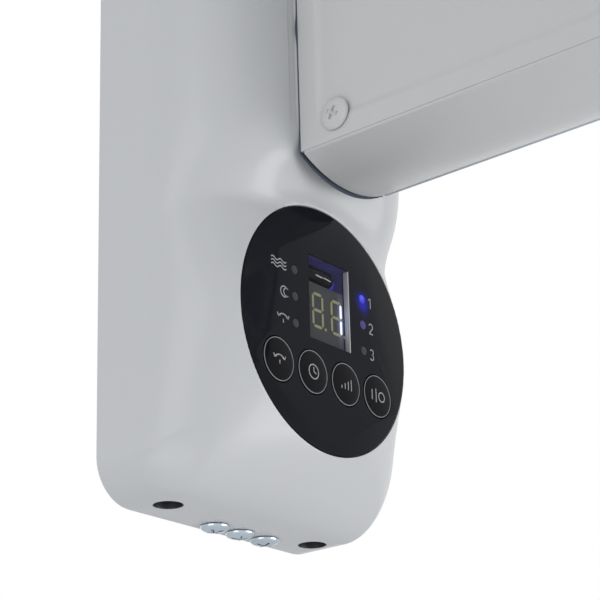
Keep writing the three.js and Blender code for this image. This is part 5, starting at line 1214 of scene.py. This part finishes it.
def make_impeller():
    """Turned hub with three blades and a slot for the drive pin, and the turned nut in front with grips."""
    inner = HUB_RADIUS - HUB_WALL
    hub = lathe([(SHAFT_RADIUS, HUB_FRONT), (20, HUB_FRONT), (HUB_RADIUS, HUB_FRONT - 2),
                 (HUB_RADIUS, HUB_REAR), (inner, HUB_REAR), (inner, HUB_FRONT - 9), (11, HUB_FRONT - 6),
                 (10, HUB_REAR), (SHAFT_RADIUS, HUB_REAR)],
                [0.4, 6, 7, 0.5, 0.5, 4, 2, 0.4, 0.4], 6, AXIS, 128)
    slot = slab(-10.5, 10.5, -HUB_REAR - 3.6, -HUB_REAR + 1, AXIS_HEIGHT - 1.6, AXIS_HEIGHT + 1.6, axis="z")
    blades = around(blade_form(), 3)
    on_rotor("fan_wheel", [hub], "white_plastic", ["impeller"], joined=blades, cut=[slot], sharp=30)
    start, end, bore = HUB_FRONT + GAP, HUB_FRONT + GAP + NOSE_LENGTH, HUB_FRONT + SHAFT_REACH + GAP
    nose = lathe([(0, end), (9.4, end - 1.2), (14.6, end - 7), (NOSE_RADIUS, start + 4), (NOSE_RADIUS, start),
                  (SHAFT_RADIUS, start), (SHAFT_RADIUS, bore), (0, bore)], [0, 8, 6, 3, 0.6, 0.2, 0.2, 0], 6,
                 AXIS, 72, closed=False)
    grip = rod("y", 1.6, -start - 9, -start + 1, (0, AXIS_HEIGHT + NOSE_RADIUS + 0.5), 20, 0.8)
    on_rotor("wheel_nut", [nose], "white_plastic", ["spinner"], cut=around(grip, 12))


def make_motor_parts():
    """The motor's turned hood with six slots, and the turned nut on the rear guard, with eight grips."""
    inner, floor = HOOD_RADIUS - HOOD_WALL, HOOD_REAR + HOOD_WALL
    hood = lathe([(0, HOOD_REAR), (HOOD_RADIUS, HOOD_REAR), (HOOD_RADIUS, HOOD_FRONT), (inner, HOOD_FRONT),
                  (inner, floor), (0, floor)], [0, HOOD_BEND, 0.5, 0.5, HOOD_BEND - HOOD_WALL, 0], 14,
                 AXIS, 128, closed=False)
    outline = rounded_box(-1.4, 1.4, AXIS_HEIGHT + 14, AXIS_HEIGHT + 27, 1.3)
    slot = prism(outline, "y", -HOOD_REAR - 8, -HOOD_REAR + 4)
    on_head("motor_hood", [hood], "white_plastic", ["motor_rear_cover"], cut=around(slot, 6))
    start = GUARD_REAR + REAR_HALF + GAP
    nut = lathe([(NECK_RADIUS, 9), (33, 9), (38, 3), (38, 0), (NECK_RADIUS, 0)], [0.4, 1.5, 1.5, 0.5, 0.4], 5,
                AXIS, 96, start=start)
    grip = rod("y", 2.4, -start - 12, -start + 1, (0, AXIS_HEIGHT + 38.8), 24, 1)
    on_head("cage_nut", [nut], "white_plastic", ["guard_nut"], cut=around(grip, 8))


bpy.context.scene.view_settings.view_transform = "Standard"
make_camera()
make_world()
make_floor()
make_lamps()
dress_cad_nodes()
make_housing()
make_hole_shade_liners()
make_panel()
make_display()
make_receiver()
make_lights()
make_keys()
make_marks()
make_screws()
make_arm()
make_floor_cover()
make_gasket_and_gap_shadow()
make_guards()
make_band()
make_impeller()
make_motor_parts()
